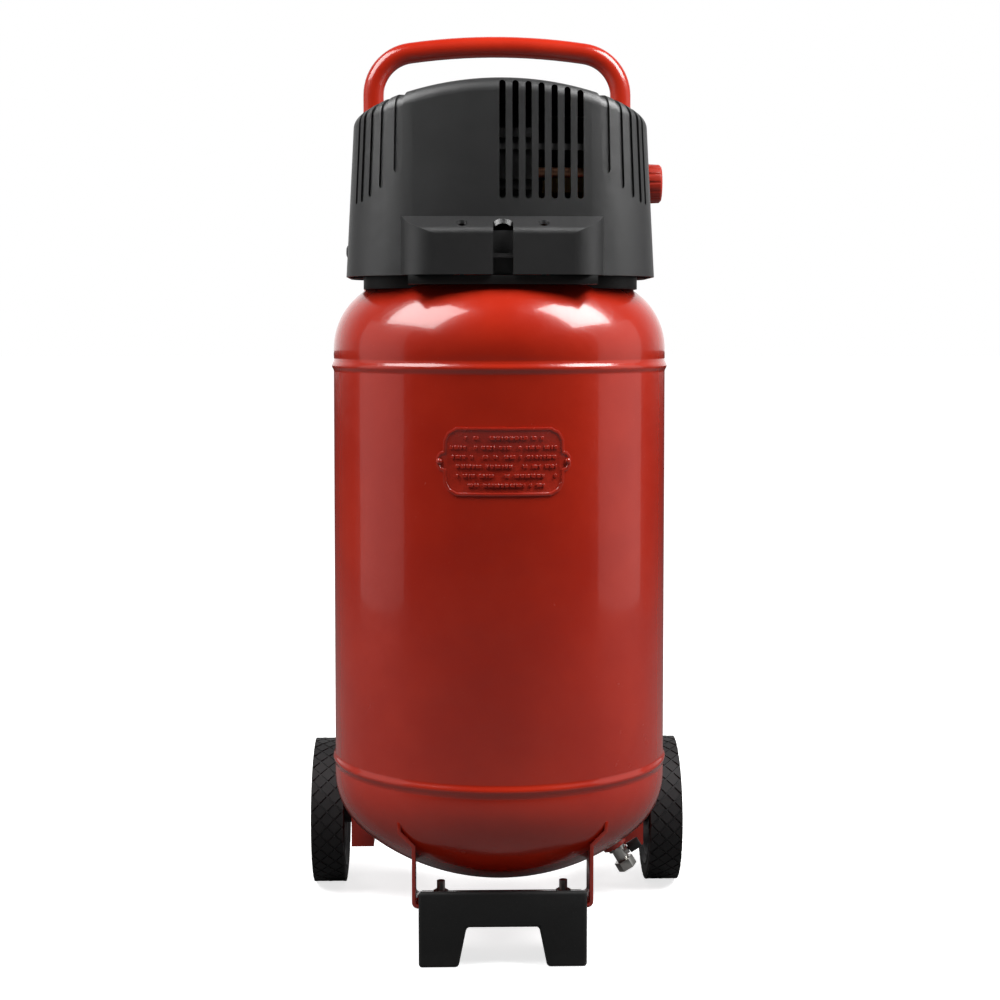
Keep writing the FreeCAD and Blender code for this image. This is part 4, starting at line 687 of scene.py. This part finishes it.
def refined(node, name, width=0.0, segments=2, angle=32.0):
    """A copy of a carried-over piece with its triangles merged and its sharp edges rounded."""
    clear()
    piece = NODES[node].copy()
    piece.data = NODES[node].data.copy()
    bpy.context.scene.collection.objects.link(piece)
    for key in list(piece.keys()):
        del piece[key]
    piece.parent = None
    piece.matrix_world = Matrix.Identity(4)
    only(piece)
    named(name)
    bpy.ops.object.mode_set(mode="EDIT")
    bpy.ops.mesh.customdata_custom_splitnormals_clear()
    bpy.ops.mesh.select_all(action="SELECT")
    bpy.ops.mesh.remove_doubles(threshold=0.00001)
    bpy.ops.mesh.dissolve_limited(angle_limit=math.radians(1.0))
    bpy.ops.object.mode_set(mode="OBJECT")
    if width:
        bevelled(piece, width, segments, angle)
    return smooth(piece, angle)


class TankSettings(bpy.types.PropertyGroup):
    radius: length("Tank radius", "Outside radius of the shell", 0.169)
    low_seam: length("Lower seam", "Height of the lower head's seam", 0.179)
    top_seam: length("Upper seam", "Height of the upper head's seam", 0.5795)
    depth: length("Head depth", "Rise of each head above its skirt", 0.106)
    skirt: length("Head skirt", "Straight part of each head", 0.017)
    knuckle: length("Knuckle radius", "Radius of each head's rounded shoulder", 0.070)
    bead: length("Seam bead", "How far the rolled seam stands proud", 0.002)


def arc(centre, radius, start, end, count):
    """Points of an arc in the section plane, angles in degrees."""
    turns = [math.radians(start + (end - start) * i / count) for i in range(count + 1)]
    return [(centre[0] + radius * math.cos(t), centre[1] + radius * math.sin(t)) for t in turns]


def tank_axis():
    low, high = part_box("tank_shell")
    return (0.0, (low.y + high.y) / 2, 0.0)


class Head:
    """The section of a dished head: seam bead, skirt, shoulder and crown."""

    def __init__(self, tank):
        across = tank.radius - tank.knuckle
        self.radius = tank.radius
        self.crown = (tank.depth**2 + across**2 - tank.knuckle**2) / (2 * (tank.depth - tank.knuckle))
        self.centre = tank.skirt + tank.depth - self.crown
        self.knuckle = tank.knuckle
        self.skirt = tank.skirt
        self.across = across
        self.bead = tank.bead
        self.turn = math.degrees(math.atan2(tank.skirt - self.centre, across))

    def section(self):
        """From the middle of the seam plane, over the bead and up to the crown."""
        reach = 3.0 * self.bead
        bead = [
            (self.radius + self.bead * 0.5 * (1 + math.cos(math.pi * i / 8)), reach * i / 8) for i in range(
                -8, 9,
            )
        ]
        edge = [(0.0, -reach), (self.radius - 0.0004, -reach), *bead, (self.radius - 0.0003, reach + 0.0006)]
        shoulder = arc((self.across, self.skirt), self.knuckle, 0.0, self.turn, 18)
        crown = arc((0.0, self.centre), self.crown, self.turn, 90.0, 22)[1:]
        crown[-1] = (0.0, crown[-1][1])
        return [*edge, (self.radius, reach + 0.002), *shoulder, *crown]

    def height(self, radius):
        """How far the outside stands above the seam at a distance from the axis."""
        if radius > self.across + self.knuckle * math.cos(math.radians(self.turn)):
            return self.skirt + math.sqrt(max(0.0, self.knuckle**2 - (radius - self.across) ** 2))
        return self.centre + math.sqrt(self.crown**2 - radius**2)


def weld_scale(radius=0.0022):
    """One ripple of a weld, flattened, to be copied along a joint."""
    clear()
    bpy.ops.mesh.primitive_uv_sphere_add(segments=8, ring_count=5, radius=radius)
    ripple = named("ripple")
    ripple.scale = (1.25, 0.75, 0.6)
    return settle(ripple)


def weld(name, spots):
    """A weld of overlapping ripples; each spot is a place, a direction along the joint and a normal."""
    ripple = weld_scale()
    ripples = []
    for place, along, out in spots:
        normal = Vector(out).normalized()
        side = normal.cross(Vector(along)).normalized()
        turn = Matrix((side, normal.cross(side), normal)).transposed().to_4x4()
        copy = copied(ripple, place, turn)
        ripples.append(copy)
    bpy.data.objects.remove(ripple)
    return smooth(joined(name, ripples), 60.0)


class OBJECT_OT_compressor_tank(bpy.types.Operator):
    """Spins the shell and both heads and lays their welds"""

    bl_idname = "object.compressor_tank"
    bl_label = "Tank"

    def execute(self, context):
        tank = context.scene.compressor_tank
        axis = Vector(tank_axis())
        head = Head(tank)
        low, high = tank.low_seam, tank.top_seam
        reach = 3.0 * tank.bead
        wall = [
            (0.0, low + reach), (tank.radius, low + reach), (tank.radius, high - reach), (
                0.0, high - reach,
            ),
        ]
        shell = smooth(turned("shell", wall, axis, steps=160))
        dress(shell, "tank", "tank_red", "tank_shell")
        top = smooth(turned("upper_head", head.section(), axis + Vector((0, 0, high)), steps=160), 50.0)
        dress(top, "tank", "tank_red", "top_head")
        bottom = smooth(
            turned("lower_head", head.section(), axis + Vector((0, 0, low)), "-Z", steps=160), 50.0,
        )
        dress(bottom, "tank", "tank_red", "bottom_head")
        back = axis.y + tank.radius
        count, inset = 150, 0.01
        line = [
            ((0.0, back, low + inset + (high - low - 2.0 * inset) * i / count), (0, 0, 1), (0, 1, 0))
            for i in range(count + 1)
        ]
        dress(weld("shell_weld", line), "tank", "tank_red")
        low_box, high_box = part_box("handle")
        tube = 0.011
        ring = []
        for side in (-1, 1):
            x = side * (high_box.x - tube)
            y = (low_box.y + high_box.y) / 2
            for i in range(30):
                turn = math.tau * i / 30
                spot = Vector(
                    (x + (tube + 0.0008) * math.cos(turn), y + (tube + 0.0008) * math.sin(turn), 0.0),
                )
                radius = (spot - axis).xy.length
                spot.z = high + head.height(min(radius, tank.radius - 0.0005)) + 0.0004
                out = Vector((math.cos(turn), math.sin(turn), 1.2))
                ring.append((spot, (-math.sin(turn), math.cos(turn), 0.0), out))
        dress(weld("handle_welds", ring), "tank", "tank_red")
        return {"FINISHED"}


class PlateSettings(bpy.types.PropertyGroup):
    thickness: length("Plate thickness", "Thickness of the pressed plate", 0.0018)
    border: length("Plate border", "Width of the raised border", 0.0026)
    dash: length("Dash height", "Height of one raised dash", 0.0034)
    rows: bpy.props.IntProperty(name="Rows", description="Rows of raised dashes", default=6, min=1)
    seed: bpy.props.IntProperty(name="Seed", description="Seed of the dashes' lengths", default=7)


PLATE_EDGE = (  # the plate's flat outline as shares of its half width and half height, one quarter
    (0.70, 1.0), (0.83, 0.86), (0.895, 0.62), (0.90, 0.30), (0.955, 0.27), (1.0, 0.14),
)


def wrapped(piece, radius, axis):
    """Rolls a piece made flat at the cylinder's front on to the cylinder."""
    for vertex in piece.data.vertices:
        x, y, z = vertex.co
        out = axis[1] - y
        turn = x / radius
        vertex.co = (out * math.sin(turn), axis[1] - out * math.cos(turn), z)
    piece.data.update()
    return piece


class OBJECT_OT_compressor_plate(bpy.types.Operator):
    """Presses the rating plate: a raised border, rivets and rows of plain dashes"""

    bl_idname = "object.compressor_plate"
    bl_label = "Rating plate"

    def execute(self, context):
        plate = context.scene.compressor_plate
        low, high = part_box("rating_plate")
        axis = tank_axis()
        radius = context.scene.compressor_tank.radius
        half_wide, half_high = high.x, (high.z - low.z) / 2
        face = axis[1] - radius
        middle = Vector((0.0, face + 0.0006, (low.z + high.z) / 2))
        sheet = self.blank(half_wide, half_high, middle, plate)
        marks = self.dashes(half_wide, half_high, middle.z, face - plate.thickness * 0.45, plate)
        whole = wrapped(joined("rating_plate_pressed", [sheet, marks]), radius, axis)
        dress(smooth(whole, 40.0), "tank", "plate_metal", "rating_plate")
        rivets = []
        for side in (-1, 1):
            turn = (half_wide * 0.955) / radius * side
            place = Vector((radius * math.sin(turn), axis[1] - radius * math.cos(turn), middle.z))
            out = Matrix.Rotation(turn, 4, "Z") @ TURNS["-Y"]
            head = [
                (0.0, 0.0), (0.0029, 0.0), (0.0029, 0.0016), (0.0024, 0.0026), (0.0012, 0.0032),
                (0.0, 0.0033),
            ]
            rivets.append(placed(turned("rivet", head, (0, 0, 0), steps=20), place, out))
        dress(smooth(joined("plate_rivets", rivets), 50.0), "tank", "plate_metal")
        return {"FINISHED"}

    def blank(self, half_wide, half_high, middle, plate):
        quarter = [(x * half_wide, z * half_high) for x, z in PLATE_EDGE]
        right = [*quarter, *[(x, -z) for x, z in reversed(quarter)]]
        outline = [*right, *[(-x, z) for x, z in reversed(right)]]
        clear()
        bpy.ops.mesh.primitive_plane_add(size=0.001)
        sheet = named("sheet")
        bpy.ops.object.mode_set(mode="EDIT")
        bpy.ops.mesh.select_mode(type="VERT")
        bpy.ops.mesh.merge(type="CENTER")
        bpy.ops.transform.translate(value=(outline[0][0], 0.0, outline[0][1]))
        for (x, z), (next_x, next_z) in zip(outline, [*outline[1:], outline[0]]):
            bpy.ops.mesh.extrude_vertices_move(
                TRANSFORM_OT_translate={"value": (next_x - x, 0.0, next_z - z)},
            )
        bpy.ops.mesh.select_all(action="SELECT")
        bpy.ops.mesh.remove_doubles(threshold=0.00001)
        bpy.ops.mesh.edge_face_add()
        bpy.ops.mesh.extrude_region_move(TRANSFORM_OT_translate={"value": (0.0, -plate.thickness, 0.0)})
        bpy.ops.mesh.select_all(action="SELECT")
        bpy.ops.mesh.normals_make_consistent(inside=False)
        done(sheet)
        choose(sheet, lambda at, out: out.y < -0.9)
        bpy.ops.mesh.inset(thickness=plate.border, depth=0.0)
        bpy.ops.mesh.inset(thickness=0.0006, depth=-plate.thickness * 0.55)
        done(sheet)
        sheet.location = middle
        settle(sheet)
        bevelled(sheet, 0.0004, 2)
        steps = 40
        for i in range(1, steps):
            only(sheet)
            bpy.ops.object.mode_set(mode="EDIT")
            bpy.ops.mesh.select_all(action="SELECT")
            x = half_wide * (2.0 * i / steps - 1.0)
            bpy.ops.mesh.bisect(plane_co=(x, 0.0, 0.0), plane_no=(1.0, 0.0, 0.0))
            done(sheet)
        return sheet

    def dashes(self, half_wide, half_high, middle, face, plate):
        """Rows of short raised bars that stand for stamped data without spelling anything."""
        chance = random.Random(plate.seed)
        unit = block("dash", (0.0, face - 0.0009, -plate.dash / 2), (0.001, face + 0.0004, plate.dash / 2))
        marks = []
        pitch = (half_high * 2.0 - plate.border * 2.0 - 0.006) / plate.rows
        for row in range(plate.rows):
            z = middle + half_high - plate.border - 0.003 - pitch * (row + 0.5)
            room = half_wide * (0.62 if row in (0, plate.rows - 1) else 0.80)
            x = -room + chance.uniform(0.0, 0.008)
            while x < room:
                wide = chance.uniform(0.0016, 0.0052)
                if x + wide < room and chance.random() > 0.13:
                    mark = copied(unit, (x, 0.0, z), Matrix.Diagonal((wide / 0.001, 1.0, 1.0, 1.0)))
                    marks.append(mark)
                x += wide + chance.choice((0.0011, 0.0011, 0.0015, 0.0042))
        bpy.data.objects.remove(unit)
        return bevelled(joined("marks", marks), 0.0003, 1)


class WheelSettings(bpy.types.PropertyGroup):
    rows: bpy.props.IntProperty(
        name="Tread blocks", description="Diamond blocks round the tyre", default=30, min=8,
    )
    groove: length("Tread groove", "Gap between the diamond blocks", 0.0013)
    depth: length("Tread depth", "Height of the diamond blocks", 0.0014)


class OBJECT_OT_compressor_tyres(bpy.types.Operator):
    """Spins the two tyres and lays their diamond tread"""

    bl_idname = "object.compressor_tyres"
    bl_label = "Tyres"

    def execute(self, context):
        wheel = context.scene.compressor_wheel
        for side in ("left", "right"):
            low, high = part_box("tyre_" + side)
            centre = (low + high) / 2
            outer = (high.z - low.z) / 2
            half = (high.x - low.x) / 2
            inner = max(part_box("wheel_hub_" + side)[1].z - centre.z, 0.05)
            carcass = self.carcass(centre, outer - wheel.depth, half, inner)
            tread = self.tread(centre, outer, half, wheel)
            piece = joined(f"tyre_{side}_treaded", [carcass, tread])
            dress(smooth(piece, 38.0), "wheel_" + side, "tyre_rubber", "tyre_" + side)
        return {"FINISHED"}

    def carcass(self, centre, radius, half, inner):
        wall = radius - inner
        section = [
            (inner, half * 0.78), (inner + 0.001, half * 0.86), (inner + wall * 0.22, half * 0.93),
            (inner + wall * 0.26, half * 0.99), (inner + wall * 0.34, half * 0.99), (
                inner + wall * 0.38, half * 0.955,
            ),
            (inner + wall * 0.62, half * 0.985), (radius - 0.004, half), (radius - 0.0012, half * 0.975),
            (radius, half * 0.91), (radius + 0.0004, half * 0.4),
        ]
        whole = [*section, *[(r, -x) for r, x in reversed(section)]]
        return turned("carcass", whole, centre, "X", steps=120, closed=True)

    def tread(self, centre, outer, half, wheel):
        """Five staggered columns of diamond blocks; the outer ones are cut off at the shoulders."""
        pitch = math.tau * outer / wheel.rows
        wide = half * 1.82 / 2
        clear()
        bpy.ops.mesh.primitive_cylinder_add(vertices=4, radius=0.5, depth=1.0)
        unit = named("diamond")
        choose(unit, lambda at, out: out.z > 0.9)
        bpy.ops.transform.resize(value=(0.90, 0.90, 1.0))
        done(unit)
        unit.scale = (wide - wheel.groove, pitch - wheel.groove, wheel.depth + 0.0012)
        settle(unit)
        blocks = []
        for column in range(-2, 3):
            x = column * wide / 2
            for i in range(wheel.rows):
                turn = math.tau * (i + (0.5 if column % 2 else 0.0)) / wheel.rows
                spin = Matrix.Rotation(turn, 4, "X")
                blocks.append((x, spin))
        rise = outer - (wheel.depth + 0.0012) / 2 - 0.0002
        mesh = bmesh.new()
        for x, spin in blocks:
            part = unit.data.copy()
            part.transform(Matrix.Translation(centre) @ spin @ Matrix.Translation((x, 0.0, rise)))
            mesh.from_mesh(part)
            bpy.data.meshes.remove(part)
        mesh.to_mesh(unit.data)
        mesh.free()
        edge = half * 0.965
        for sign in (-1, 1):
            only(unit)
            bpy.ops.object.mode_set(mode="EDIT")
            bpy.ops.mesh.select_all(action="SELECT")
            bpy.ops.mesh.bisect(
                plane_co=(centre.x + sign * edge, 0.0, 0.0), plane_no=(sign, 0.0, 0.0),
                clear_outer=True, use_fill=True,
            )
            done(unit)
        return unit


class FootSettings(bpy.types.PropertyGroup):
    arch_high: length("Arch height", "Height of the opening between the foot's two ends", 0.039)
    arch_top: length("Arch top", "Width of the opening at its top", 0.070)
    arch_low: length("Arch bottom", "Width of the opening at the floor", 0.090)
    recess: length("Strap recess", "Depth of the step that takes the strap", 0.015)
    lip: length("Front lip", "Thickness of the lip in front of the strap", 0.007)
    edge: length("Foot edge", "Rounding of the moulded edges", 0.0032)


class OBJECT_OT_compressor_foot(bpy.types.Operator):
    """Moulds the rubber foot with its strap recess and arch"""

    bl_idname = "object.compressor_foot"
    bl_label = "Rubber foot"

    def execute(self, context):
        foot = context.scene.compressor_foot
        low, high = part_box("rubber_foot")
        seat = high.z - foot.recess
        piece = block("foot", low, (high.x, high.y, seat))
        only(piece)
        bpy.ops.object.mode_set(mode="EDIT")
        bpy.ops.mesh.select_all(action="SELECT")
        bpy.ops.mesh.bisect(plane_co=(0.0, low.y + foot.lip, 0.0), plane_no=(0.0, 1.0, 0.0))
        done(piece)
        choose(piece, lambda at, out: out.z > 0.9 and at.y < low.y + foot.lip)
        bpy.ops.mesh.extrude_region_move(TRANSFORM_OT_translate={"value": (0.0, 0.0, foot.recess)})
        done(piece)
        arch = block(
            "arch", (-foot.arch_low / 2, low.y - 0.02, -0.01), (
                foot.arch_low / 2, high.y + 0.02, foot.arch_high,
            )
        )
        choose(arch, lambda at, out: out.z > 0.9)
        bpy.ops.transform.resize(value=(foot.arch_top / foot.arch_low, 1.0, 1.0))
        done(arch)
        boolean(piece, arch, "DIFFERENCE")
        bevelled(piece, foot.edge, 4)
        dress(smooth(piece, 40.0), "tank", "foot_rubber", "rubber_foot")
        return {"FINISHED"}


ROUNDED = (
    # node, edge radius in millimetres, segments
    ("foot_bracket", 0.8, 2), ("base_tray", 0.8, 2), ("wheel_bracket_left", 0.8, 2),
    ("wheel_bracket_right", 0.8, 2), ("drain_bung", 0.7, 2), ("drain_valve_body", 0.4, 2), (
        "drain_knob", 0.6, 2,
    ),
    ("regulator_knob", 0.6, 2), ("shroud_screws", 0.35, 2), ("frame_fasteners", 0.4, 2), (
        "safety_valve", 0.3, 2,
    ),
    ("switch_knob", 0.8, 3), ("coupler_body", 0.3, 2), ("coupler_sleeve", 0.3, 2), ("cable_gland", 0.5, 2),
    ("overload_switch", 0.5, 2), ("reset_button", 0.6, 2), ("gauge_cases", 0.5, 2),
    ("wheel_hub_left", 0.8, 2), ("wheel_hub_right", 0.8, 2), ("pressure_switch", 1.5, 3),
)


class OBJECT_OT_compressor_rounded(bpy.types.Operator):
    """Rounds the sharp edges of the moulded, pressed and turned pieces"""

    bl_idname = "object.compressor_rounded"
    bl_label = "Rounded pieces"

    def execute(self, context):
        bodies = {
            node: body for body, nodes in frame["record"]["behaviour"]["bodies"].items() for node in nodes
        }
        slots = {item["node"]: item["material_slot"] for item in frame["record"]["subparts"]}
        for node, width, segments in ROUNDED:
            piece = refined(node, node + "_finished", width / 1000.0, segments)
            dress(piece, bodies[node], slots[node], node)
        return {"FINISHED"}


class VIEW3D_PT_compressor(bpy.types.Panel):
    """Lists the compressor's steps and sizes"""

    bl_label = "Air compressor"
    bl_idname = "VIEW3D_PT_compressor"
    bl_space_type = "VIEW_3D"
    bl_region_type = "UI"
    bl_category = "Compressor"

    def draw(self, context):
        for step in STEPS:
            self.layout.operator(step.bl_idname)
        for group in GROUPS:
            settings = getattr(context.scene, group)
            for item in settings.bl_rna.properties:
                if item.identifier not in ("name", "rna_type"):
                    self.layout.prop(settings, item.identifier)


STEPS = (
    OBJECT_OT_compressor_stage, OBJECT_OT_compressor_repaint, OBJECT_OT_compressor_tank,
    OBJECT_OT_compressor_rounded, OBJECT_OT_compressor_plate, OBJECT_OT_compressor_tyres,
    OBJECT_OT_compressor_foot,
)
GROUPS = {
    "compressor_stage": StageSettings, "compressor_tank": TankSettings, "compressor_plate": PlateSettings,
    "compressor_wheel": WheelSettings, "compressor_foot": FootSettings,
}


def register():
    for settings in GROUPS.values():
        bpy.utils.register_class(settings)
    for kind in (*STEPS, VIEW3D_PT_compressor):
        bpy.utils.register_class(kind)
    for name, settings in GROUPS.items():
        setattr(bpy.types.Scene, name, bpy.props.PointerProperty(type=settings))


def unregister():
    for name in GROUPS:
        delattr(bpy.types.Scene, name)
    for kind in (VIEW3D_PT_compressor, *reversed(STEPS)):
        bpy.utils.unregister_class(kind)
    for settings in GROUPS.values():
        bpy.utils.unregister_class(settings)


def main():
    register()
    for step in STEPS:
        group, name = step.bl_idname.split(".")
        getattr(getattr(bpy.ops, group), name)()


if __name__ == "__main__":
    main()
